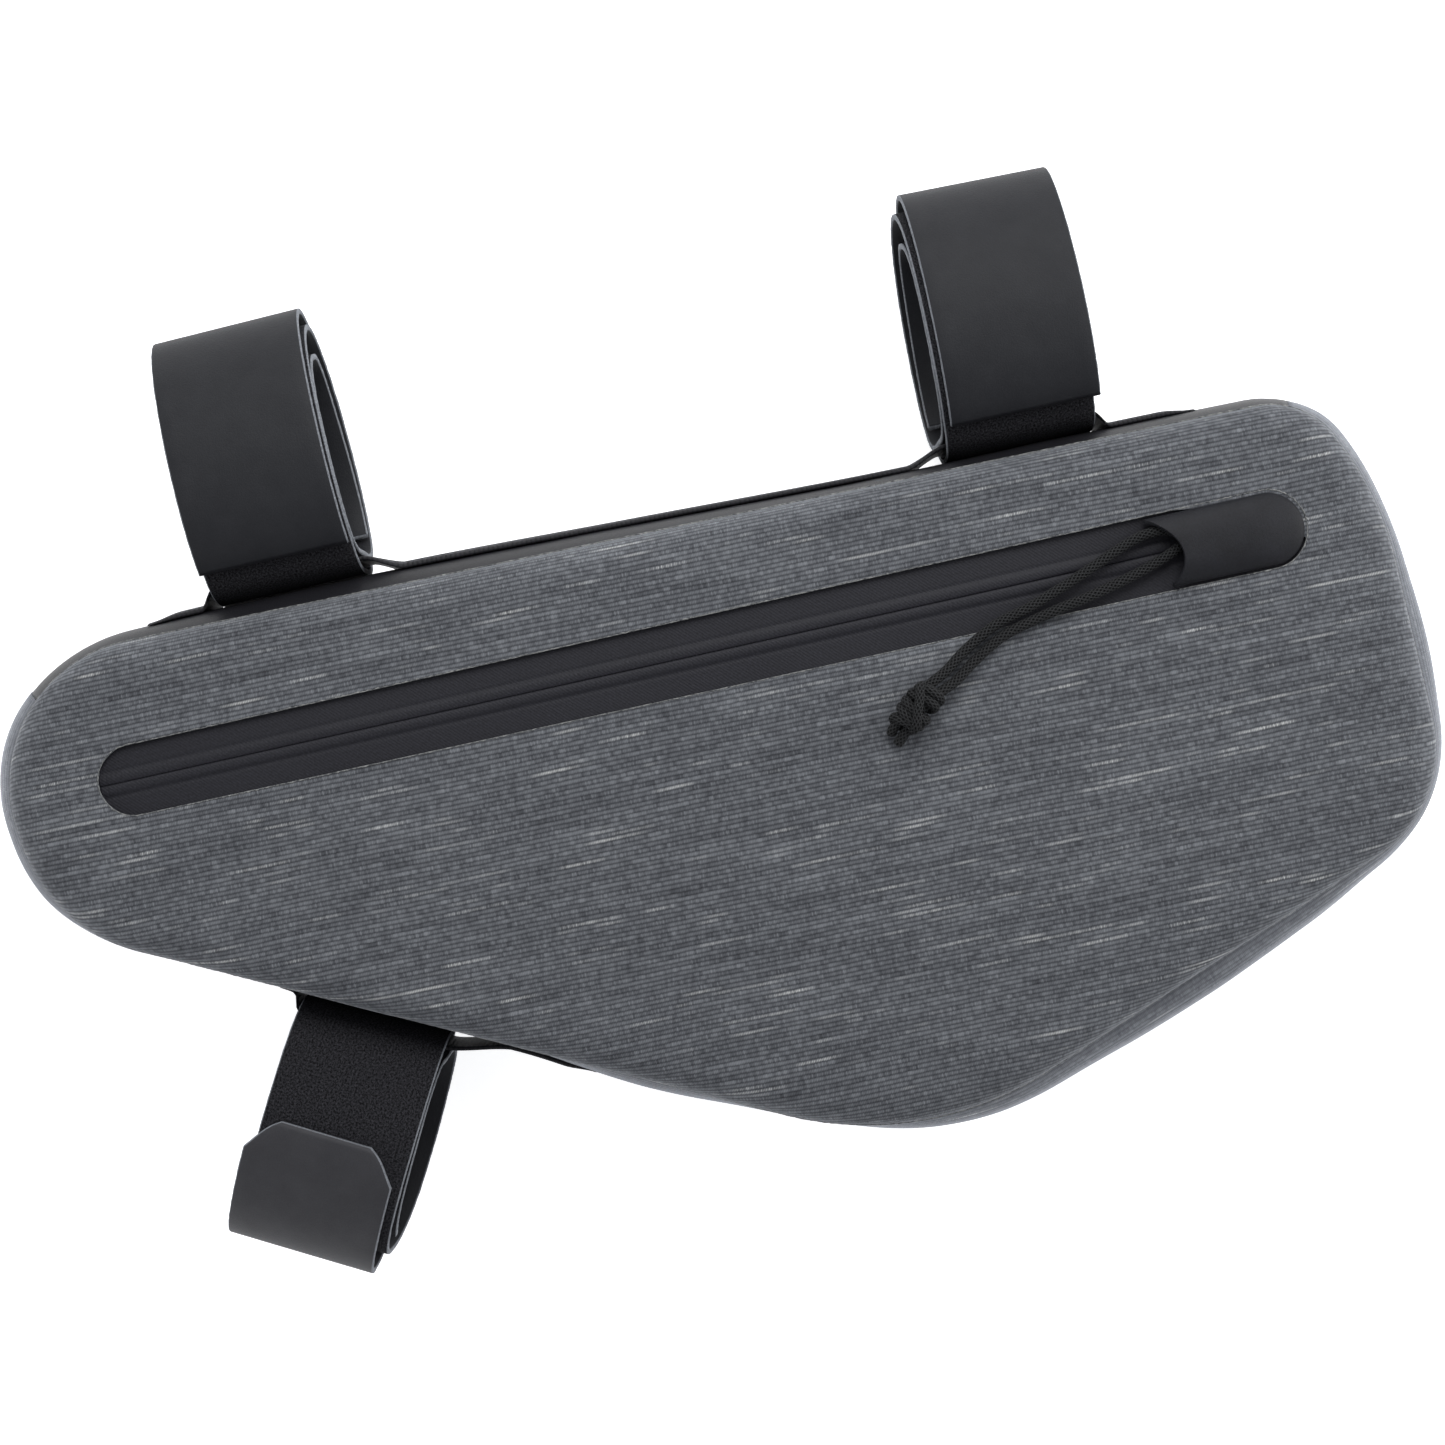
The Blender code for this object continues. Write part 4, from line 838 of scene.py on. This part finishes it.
def zipTape(name, side, node):
    # Half the zip: flat film, a stitched groove, then the coil's low ridge up to the parting
    settings = {"across": 26, "step": 0.45 * mm, "coilPitch": 1.25 * mm, "coilHeight": 0.4 * mm,
                "coilWidth": 2.9 * mm, "parting": 0.01 * mm}
    low, high = -zipSlot["length"] / 2 + 0.1 * mm, zipSlot["length"] / 2 - 0.1 * mm
    along = np.linspace(low, high, int((high - low) / settings["step"]))
    half = np.maximum(slotHalf(along) + 0.9 * mm, 0.6 * mm)
    shares = np.linspace(0, 1, settings["across"]) ** 1.25
    rows, uvs = [], []
    for share in shares:
        across = settings["parting"] / 2 + share * (half - settings["parting"] / 2)
        t = across / settings["coilWidth"]
        ridge = settings["coilHeight"] * np.clip(1 - (2 * t - 1) ** 2, 0, None) ** 0.6 * (t < 1)
        teeth = 1 + 0.22 * np.cos(2 * math.pi * along / settings["coilPitch"]) * smoothstep(0.15, 0.5, t)
        groove = -0.14 * mm * np.exp(-((across - settings["coilWidth"] - 0.5 * mm) / (0.35 * mm)) ** 2)
        parting = -0.06 * mm * np.exp(-(across / (0.22 * mm)) ** 2)
        x, y = slotToRow(along, side * across)
        z = faceHeight(x, y) - zipSlot["recess"] - 0.5 * mm + ridge * teeth + groove + parting
        z = z + 0.12 * mm * softNoise(x, y, 31, 12 * mm)
        rows.append(np.column_stack([x, y, z]))
        uvs.append(np.column_stack([along / mm, side * across / mm]))
    made = gridMesh(name, np.stack(rows, axis=1), np.stack(uvs, axis=1), zipTapeMaterial,
                    thickness=0.7 * mm)
    faceTowards(made, (0, 0, 1), polygon=0)
    return dress(made, "zip_film", node)


zipTape("zipTapeUpper", 1, "zip_tape_upper")
zipTape("zipTapeLower", -1, "zip_tape_lower")
print("zip tapes")


def mouldedHood():
    # Thermo-moulded polyurethane hood: fine sand grain, dull satin
    made, tree, shader = newMaterial("mouldedPolyurethaneHood")
    uv = weaveCoordinates(tree)[0]
    sand = addNoise(tree, uv, 1.5, 4.0, 0.75)
    cloud = addNoise(tree, uv, 0.12, 3.0, 0.5)
    mottle = addMath(tree, "MULTIPLY_ADD", addMath(tree, "SUBTRACT", sand.outputs[0], 0.5), 1.3,
                     cloud.outputs[0])
    tint = addTint(tree, mottle, "#0b0b0e", "#1d1e23")
    bump = addBump(tree, 0.8, 0.09 * mm, sand.outputs[0])
    finishSurface(tree, shader, tint.outputs[2], bump, roughness=0.6, specular=0.2)
    return made


hoodMaterial = mouldedHood()
garage = {
    "length": 40.2 * mm, "sag": 5.8 * mm, "skew": 2.0 * mm, "wall": 1.0 * mm, "height": 5.1 * mm,
    "tailHeight": 2.6 * mm, "squareness": 2.6, "seat": 0.9 * mm, "clearance": 0.85 * mm,
}


def garageHood():
    # The hood over the slider, from its curved mouth down to the slot's round end
    tailRadius = zipSlot["tailWidth"] / 2 - garage["clearance"]
    tailCentre = zipSlot["length"] / 2 - zipSlot["tailWidth"] / 2
    mouthAt = zipSlot["length"] / 2 - garage["length"]
    half = float(slotHalf(mouthAt)) - garage["clearance"]
    sides = -np.cos(np.linspace(0, math.pi, 61))
    rows, uvs = [], []
    for share in np.sin(np.linspace(0, math.pi / 2, 46)):
        across = sides * (half + share * (tailRadius - half))
        mouth = mouthAt + garage["sag"] * (1 - sides ** 2) - garage["skew"] * sides
        end = tailCentre + np.sqrt(np.maximum(0, tailRadius ** 2 - across ** 2))
        along = mouth + share * (end - mouth)
        arch = (1 - np.abs(sides) ** garage["squareness"]) ** (1 / garage["squareness"])
        height = garage["height"] + share * (garage["tailHeight"] - garage["height"])
        closing = math.sqrt(max(0, 1 - max(0, (share - 0.55) / 0.45) ** 2))
        x, y = slotToRow(along, across)
        z = faceHeight(x, y) - zipSlot["recess"] + garage["seat"] + height * arch * closing
        rows.append(np.column_stack([x, y, z]))
        uvs.append(np.column_stack([along / mm, across / mm]))
    made = gridMesh("zipGarageHood", np.stack(rows, axis=1), np.stack(uvs, axis=1), hoodMaterial)
    faceTowards(made, (0, 0, 1), polygon=30)
    wall = made.modifiers.new("wall", "SOLIDIFY")
    wall.thickness = garage["wall"]
    wall.offset = -1
    lip = made.modifiers.new("softLip", "BEVEL")
    lip.width = 0.3 * mm
    lip.segments = 3
    lip.limit_method = "ANGLE"
    lip.angle_limit = math.radians(50)
    return dress(made, "coated_black", "zip_garage")


garageHood()


def lacqueredZinc():
    # Die-cast zinc slider with black baked lacquer: smooth, low gloss, metal showing at the worn edges
    made, tree, shader = newMaterial("blackLacqueredZinc")
    spot = addNode(tree, "ShaderNodeTexCoord").outputs["Object"]
    haze = addNode(tree, "ShaderNodeTexNoise", {"Scale": 900.0, "Detail": 3.0}, {"Vector": spot})
    bevel = addNode(tree, "ShaderNodeNewGeometry")
    worn = addNode(tree, "ShaderNodeMapRange", {1: 0.52, 2: 0.6, 3: 0.0, 4: 1.0},
                   {0: bevel.outputs["Pointiness"]})
    tint = addTint(tree, worn.outputs[0], "#17181a", "#6d6f73")
    rough = addNode(tree, "ShaderNodeMapRange", {1: 0.0, 2: 1.0, 3: 0.32, 4: 0.46}, {0: haze.outputs[0]})
    tree.links.new(tint.outputs[2], shader.inputs["Base Color"])
    tree.links.new(rough.outputs[0], shader.inputs["Roughness"])
    shader.inputs["Metallic"].default_value = 0.6
    return made


sliderNode = nodes["zip_slider"]
sliderNode.data.materials.clear()
sliderNode.data.materials.append(lacqueredZinc())
print("zip hood and slider")


# Straps

strapBand = {
    "width": 40.8 * mm, "wall": 1.6 * mm, "layerGap": 0.35 * mm, "seat": 0.3 * mm, "loopMiddle": 0.45,
    "tabLength": 9 * mm, "tabCut": 8 * mm, "tabRound": 0.9, "settleUntil": 0.45, "fray": 0.10 * mm,
    "stepsPerTurn": 150,
}
stripBand = {"width": 24 * mm, "wall": 1.2 * mm, "margin": 0.7 * mm, "clearance": 0.35 * mm,
             "endTaper": 9 * mm}
# turn, layers, slack, over, millimetres aside
topWinding = [
    (0.14, 0, 0, 0, -1.5), (1.08, 0, 0, 0, 0), (1.15, 1, 0, 0, 0.1), (1.33, 1, 0, 0, 0.4),
    (1.50, 1, 0.08, 0, 1.2), (1.70, 1, 0.01, 0, 1.8), (1.86, 1, 0.01, 0, 1.5), (2.00, 0, 0, 1, 0.5),
    (2.14, 2, 0, 0, 0.5), (2.30, 2, 0, 0, 0.5), (2.48, 2, 0.26, 0, 0.8), (2.66, 2, 0.26, 0, 0.8),
    (2.86, 2, 0.05, 0, 0.8),
]
downWinding = [
    (0.262, 0, 0, 0, -2.6), (1.08, 0, 0, 0, 0), (1.24, 1, 0, 0, 0), (1.32, 1, 0, 0, 0),
    (1.50, 1, 0.13, 0, 0.8),
    (1.68, 1, 0, 0, 2.4), (1.86, 1, 0, 0, 1.6), (2.00, 0, 0.10, 1, 0.4), (2.16, 2, 0.03, 0, 0.4),
    (2.30, 2, 0.01, 0, 0.8), (2.44, 2, 0.20, 0, 1.2),
]
# along is a share of the straight side; before and after are the daisy strip's ramps in millimetres
straps = [
    {"name": "noseTopStrap", "node": "strap_top_nose", "side": 11, "along": 0.8563, "lean": 2.3,
     "height": 73.5,
     "halfDepth": 27, "squareness": 1.35, "winding": topWinding, "aside": -0.5, "before": 10, "after": 3,
     "tab": False, "seed": 41},
    {"name": "tailTopStrap", "node": "strap_top_tail", "side": 11, "along": 0.2006, "lean": -0.7,
     "height": 73.5,
     "halfDepth": 27, "squareness": 1.35, "winding": topWinding, "aside": 1.0, "before": 3, "after": 10,
     "tab": False, "seed": 43},
    {"name": "downTubeStrap", "node": "strap_down_tube", "side": 3, "along": 0.3662, "lean": -2.2,
     "height": 69.0,
     "halfDepth": 25, "squareness": 1.25, "winding": downWinding, "aside": 1.0, "before": 1.6, "after": 16,
     "tab": True, "seed": 47},
]
for strap in straps:
    strap["at"] = strap["along"] * rimPieces[strap["side"]][2]


def loopPoint(strap, turn):
    angle = 2 * math.pi * turn
    rise = ((1 - math.cos(angle)) / 2) ** strap["squareness"]
    return Vector((strap["halfDepth"] * mm * math.sin(angle),
                   (strap["height"] * mm - strapBand["wall"]) * rise))


def stripLift(strap):
    edgeTurn = math.asin(stripBand["width"] / 2 / (strap["halfDepth"] * mm)) / (2 * math.pi)
    return strapBand["seat"] + strapBand["wall"] + stripBand["clearance"] + loopPoint(strap, edgeTurn).y


def windingLine(strap):
    # The band's middle line in the loop's plane, the turns gone at each point, and the slip aside
    rows = strap["winding"]
    turns = [r[0] for r in rows]
    slacks = [r[2] for r in rows]
    slips = [r[4] * mm * strap["aside"] for r in rows]
    over = stripLift(strap) + stripBand["wall"] + stripBand["clearance"]
    insets = [r[1] * (strapBand["wall"] + strapBand["layerGap"]) + r[3] * over for r in rows]
    middle = Vector((0, strapBand["loopMiddle"] * strap["height"] * mm))
    steps = round((turns[-1] - turns[0]) * strapBand["stepsPerTurn"])
    line, marks, asides = [], [], []
    for k in range(steps + 1):
        turn = turns[0] + (turns[-1] - turns[0]) * k / steps
        ahead = loopPoint(strap, turn + 1e-4) - loopPoint(strap, turn - 1e-4)
        inward = Vector((-ahead.y, ahead.x)).normalized()
        here = loopPoint(strap, turn) + inward * eased(turns, insets, turn)
        line.append(here.lerp(middle, eased(turns, slacks, turn)))
        marks.append(turn)
        asides.append(eased(turns, slips, turn))
    return line, marks, asides


def sidePlace(side, along):
    # The rim's point on a straight side, its outward and along directions, and the wall's swell there
    piece = rimPieces[side]
    heading = piece[3][1].normalized()
    point = piece[3][0] + heading * along
    at = piece[1] + along
    swell = float(np.interp(at, rim[:, 0], rim[:, 5]))
    return point, Vector((heading.y, -heading.x, 0)), heading.to_3d(), swell


def strapFoot(strap):
    along = strap["at"]
    point, outward, heading, _ = sidePlace(strap["side"], along)
    reach = strapBand["width"] / 2
    swell = max(sidePlace(strap["side"], a)[3] for a in (along - reach, along, along + reach))
    return point.to_3d() + outward * swell + Vector((0, 0, body["depth"] / 2)), outward, heading


def strapFace(name, dark, light):
    # Microfibre-backed polyurethane strap face: brushed matt leather look with a very fine grain
    made, tree, shader = newMaterial(name)
    uv = weaveCoordinates(tree)[0]
    grain = addNoise(tree, uv, 2.6, 5.0, 0.7)
    rub = addNoise(tree, uv, 0.09, 4.0, 0.65)
    pores = addNode(tree, "ShaderNodeTexVoronoi", {"Scale": 1.7, "Randomness": 1.0}, {"Vector": uv},
                    feature="F1")
    mottle = addMath(tree, "MULTIPLY_ADD", addMath(tree, "SUBTRACT", grain.outputs[0], 0.5), 1.1,
                     rub.outputs[0])
    tint = addTint(tree, mottle, dark, light)
    height = addNode(tree, "ShaderNodeMath", {1: 0.4}, {0: pores.outputs[0], 2: grain.outputs[0]},
                     operation="MULTIPLY_ADD")
    bump = addBump(tree, 0.7, 0.1 * mm, height.outputs[0])
    finishSurface(tree, shader, tint.outputs[2], bump, roughness=0.6, specular=0.2)
    return made


def loopPile():
    # Brushed nylon loop pile: deep black with grey fibre tips, swallows light between the tufts
    made, tree, shader = newMaterial("brushedNylonLoopPile")
    uv = weaveCoordinates(tree)[0]
    tufts = addNoise(tree, uv, 1.8, 6.0, 0.85)
    tint = addRamp(tree, tufts.outputs[0], 0.42, "#050506", 0.68, "#424246")
    bump = addBump(tree, 0.9, 0.35 * mm, tufts.outputs[0])
    finishSurface(tree, shader, tint.outputs[0], bump, roughness=0.95, specular=0.05)
    return made


def cutEdge():
    # Heat-cut strap edge: layers of felt and film pressed together, fibrous, its paler grey partly the
    # felt's own colour and partly painted rim light
    made, tree, shader = newMaterial("heatCutStrapEdgePaintedRim")
    uv = weaveCoordinates(tree)[0]
    fibre = addNoise(tree, uv, 1.8, 5.0, 0.75)
    tint = addRamp(tree, fibre.outputs[0], 0.30, "#3c3e42", 0.72, "#878b91")
    bump = addBump(tree, 0.8, 0.15 * mm, fibre.outputs[0])
    finishSurface(tree, shader, tint.outputs[0], bump, roughness=0.88, specular=0.2)
    return made


strapMaterials = [strapFace("microfibreStrapFace", "#15161a", "#242528"), loopPile(), cutEdge(),
                  strapFace("rubbedStrapTab", "#2a2a2d", "#3a3a3d")]


def wallGap(strap, s):
    # How far the stiff band's underside would stand off the soft wall, s across the band from its middle
    lean = math.radians(strap["lean"])
    along = strap["at"] + s * math.cos(lean)
    reach = strapBand["width"] / 2
    top = max(sidePlace(strap["side"], a)[3] for a in (strap["at"] - reach, strap["at"],
                                                       strap["at"] + reach))
    return top + reach * abs(math.sin(lean)) - s * math.sin(lean) - sidePlace(strap["side"], along)[3]


def makeStrap(strap):
    # One long band wound into its loop: leather face outside, pile where the face ends, pale cut edges
    foot, up, across = strapFoot(strap)
    turned = Matrix.Rotation(math.radians(strap["lean"]), 3, "Z")
    foot = foot + up * strapBand["width"] / 2 * abs(math.sin(math.radians(strap["lean"])))
    up, across = turned @ up, turned @ across
    base = foot + up * (strapBand["seat"] + strapBand["wall"] / 2)
    line, marks, asides = windingLine(strap)
    half = strapBand["width"] / 2
    wall = strapBand["wall"] / 2
    soft = 0.35 * mm
    # the cross-section: outer face, edge, inner face, edge, with softened corners
    spread = np.linspace(-1, 1, 13)
    corner = [(half - 0.3 * soft, wall - 0.3 * soft, 2), (half, 0.3 * wall, 2), (half, -0.3 * wall, 2),
              (half - 0.3 * soft, -wall + 0.3 * soft, 2)]
    section = [(s * (half - soft), wall, 0) for s in spread] + corner
    section += [(-s, -n, kind or 1) for s, n, kind in section]
    rng = np.random.default_rng(strap["seed"])
    # near the wall the band gives way until it lies on it along its whole width
    settles = {s: wallGap(strap, s) for s, _, _ in section}
    outwards = sidePlace(strap["side"], strap["at"])[1]
    walked, rows, uvs = 0.0, [], []
    for k, here in enumerate(line):
        ahead = (line[min(len(line) - 1, k + 1)] - line[max(0, k - 1)]).normalized()
        outward = Vector((ahead.y, -ahead.x))
        if k:
            walked += (here - line[k - 1]).length
        cut = 0.0
        if strap["tab"] and walked < strapBand["tabLength"]:
            share = walked / strapBand["tabLength"]
            cut = strapBand["tabCut"] * (1 - share) / (1 + strapBand["tabRound"] * share * (1 - share))
        held = 1 - float(smoothstep(0, strapBand["settleUntil"], here.y / (strap["height"] * mm)))
        fray = strapBand["fray"] * (rng.random(2) - 0.5)
        ring, uvRow = [], []
        for j, (s, n, kind) in enumerate(section):
            drop = outwards * settles[s] * held
            s = s * (half - cut) / half + (fray[0] if s > 0 else fray[1]) * (kind == 2)
            spot = here + outward * n
            ring.append(tuple(base + Vector((0, 0,
                                             spot.x)) + up * spot.y + across * (s + asides[k]) - drop))
            uvRow.append((walked / mm, (s + (n if kind == 2 else 0)) / mm))
        rows.append(ring)
        uvs.append(uvRow + [uvRow[0]])
    made = gridMesh(strap["name"], rows, uvs, strapMaterials[0], closedV=True)
    for extra in strapMaterials[1:]:
        made.data.materials.append(extra)
    count = len(section)
    # the leather face runs once round; the pile shows from there on, facing out, and the inner side, the
    # hook side on the real strap, takes the face material
    faceUntil = 1.0 if strap["tab"] else 1.02
    face = 3 if strap["tab"] else 0
    indices = []
    for i in range(len(rows) - 1):
        for j in range(count):
            kinds = {section[j][2], section[(j + 1) % count][2]}
            if 2 in kinds:
                indices.append(2)
            elif section[j][2] == 0:
                indices.append(face if marks[i] < faceUntil else 1)
            else:
                indices.append(0)
    made.data.polygons.foreach_set("material_index", indices)
    closeEnds(made, endMaterial=2)
    return dress(made, "strap_rubber", strap["node"])


strapObjects = [makeStrap(strap) for strap in straps]
print("straps")


# Daisy strips

strips = [
    {"name": "topDaisyStrip", "node": "top_daisy_strip", "side": 11, "from": 0.0457, "to": 0.9850},
    {"name": "downDaisyStrip", "node": "down_daisy_strip", "side": 3, "from": 0.2140, "to": 0.7099},
]


def makeStrip(strip):
    # The band sewn flat on the side wall and lifted over each strap
    mine = [s for s in straps if s["side"] == strip["side"]]
    length = rimPieces[strip["side"]][2]
    stations = np.linspace(strip["from"], strip["to"],
                           int((strip["to"] - strip["from"]) * length / (0.9 * mm)))
    stations = stations * length
    shares = np.linspace(-0.5, 0.5, 11)
    rows, uvs = [], []
    for along in stations:
        point, outward, _, swell = sidePlace(strip["side"], float(along))
        under, top, uvRow = [], [], []
        ends = min(along - stations[0], stations[-1] - along)
        thin = 0.25 + 0.75 * float(smoothstep(0, stripBand["endTaper"], ends))
        for share in shares:
            depth = body["depth"] / 2 + stripBand["width"] * share
            height = swell * float(gussetRise(depth)) + strapBand["seat"] * thin
            for strap in mine:
                beyond = abs(along - strap["at"]) - strapBand["width"] / 2 - stripBand["margin"]
                ramp = (strap["before"] if along < strap["at"] else strap["after"]) * mm
                raised = swell + stripLift(strap)
                taut = min(1.0, max(0.0, 1 - beyond / ramp))
                height += (0.35 * float(smoothstep(0, 1, taut)) + 0.65 * taut) * (raised - height)
            edge = 1 - 0.25 * max(0, (abs(share) - 0.46) / 0.04)
            foot = point.to_3d() + Vector((0, 0, depth))
            under.append(tuple(foot + outward * height))
            top.append(tuple(foot + outward * (height + stripBand["wall"] * edge * thin)))
            uvRow.append((along / mm, share * stripBand["width"] / mm))
        rows.append(under + top[::-1])
        uvs.append(uvRow + uvRow[::-1] + [uvRow[0]])
    made = gridMesh(strip["name"], rows, uvs, webbingBlack, closedV=True)
    closeEnds(made)
    return dress(made, "coated_black", strip["node"])


for strip in strips:
    makeStrip(strip)
print("daisy strips")


# Studio

studio = {"worldShade": "#f8f9ff", "worldStrength": 0.42, "tableGlow": 0.85}


def acrylicTable():
    # White acrylic shooting table, softly lit from below, as for a cut-out product picture
    made, tree, shader = newMaterial("litAcrylicTable")
    spot = addNode(tree, "ShaderNodeTexCoord").outputs["Object"]
    tooth = addNode(tree, "ShaderNodeTexNoise", {"Scale": 700.0, "Detail": 3.0}, {"Vector": spot})
    tint = addTint(tree, tooth.outputs[0], "#f1f2f3", "#fafafa")
    tree.links.new(tint.outputs[2], shader.inputs["Base Color"])
    tree.links.new(tint.outputs[2], shader.inputs["Emission Color"])
    shader.inputs["Emission Strength"].default_value = studio["tableGlow"]
    shader.inputs["Roughness"].default_value = 0.9
    shader.inputs["Specular IOR Level"].default_value = 0.1
    return made


def tableTop():
    # Flat under the bag, curved up all round far out of the picture, so that no horizon shows from the side
    settings = {"flat": 3.0, "reach": 4.4, "rise": 1.3, "sides": 96}
    radii = np.concatenate([np.linspace(0.02, settings["flat"], 8),
                            np.linspace(settings["flat"], settings["reach"], 16)])
    turns = np.linspace(0, 2 * math.pi, settings["sides"], endpoint=False)
    rows = []
    for radius in radii:
        bend = max(0.0, (radius - settings["flat"]) / (settings["reach"] - settings["flat"]))
        height = settings["rise"] * bend ** 2.2 - 0.2 * mm
        rows.append(np.column_stack([radius * np.cos(turns), radius * np.sin(turns),
                                     np.full(len(turns), height)]))
    uvs = [np.column_stack([np.append(turns, 2 * math.pi), np.full(len(turns) + 1, r)]) for r in radii]
    made = gridMesh("tableTop", rows, uvs, acrylicTable(), closedV=True)
    closeEnds(made, within=lambda spot: spot.length < 0.1)
    faceTowards(made, (0, 0, 1), polygon=10)
    return made


floorObject = tableTop()

world = bpy.data.worlds.new("lightTent")
bpy.context.scene.world = world
world.use_nodes = True
world.node_tree.nodes["Background"].inputs[0].default_value = hexColor(studio["worldShade"])
world.node_tree.nodes["Background"].inputs[1].default_value = studio["worldStrength"]

softLights = [
    # name, place, aim, size, watts
    ("topSoftbox", (0.20, 0.85, 0.95), (0, 0.03, 0.03), 0.7, 12),
    ("sideSoftbox", (1.00, 0.25, 0.80), (0, 0, 0.03), 0.6, 4),
    ("tailRimStrip", (0.95, 0.10, 0.22), (0.15, 0, 0.03), 0.35, 3.5),
    ("noseRimStrip", (-0.95, 0.10, 0.22), (-0.15, 0, 0.03), 0.35, 2.5),
]
for name, place, aim, size, watts in softLights:
    data = bpy.data.lights.new(name, "AREA")
    data.size = size
    data.energy = watts
    lamp = bpy.data.objects.new(name, data)
    lamp.location = place
    lamp.rotation_euler = (Vector(aim) - Vector(place)).to_track_quat("-Z", "Y").to_euler()
    bpy.context.scene.collection.objects.link(lamp)
bpy.context.scene.view_settings.view_transform = "Standard"
print("studio")
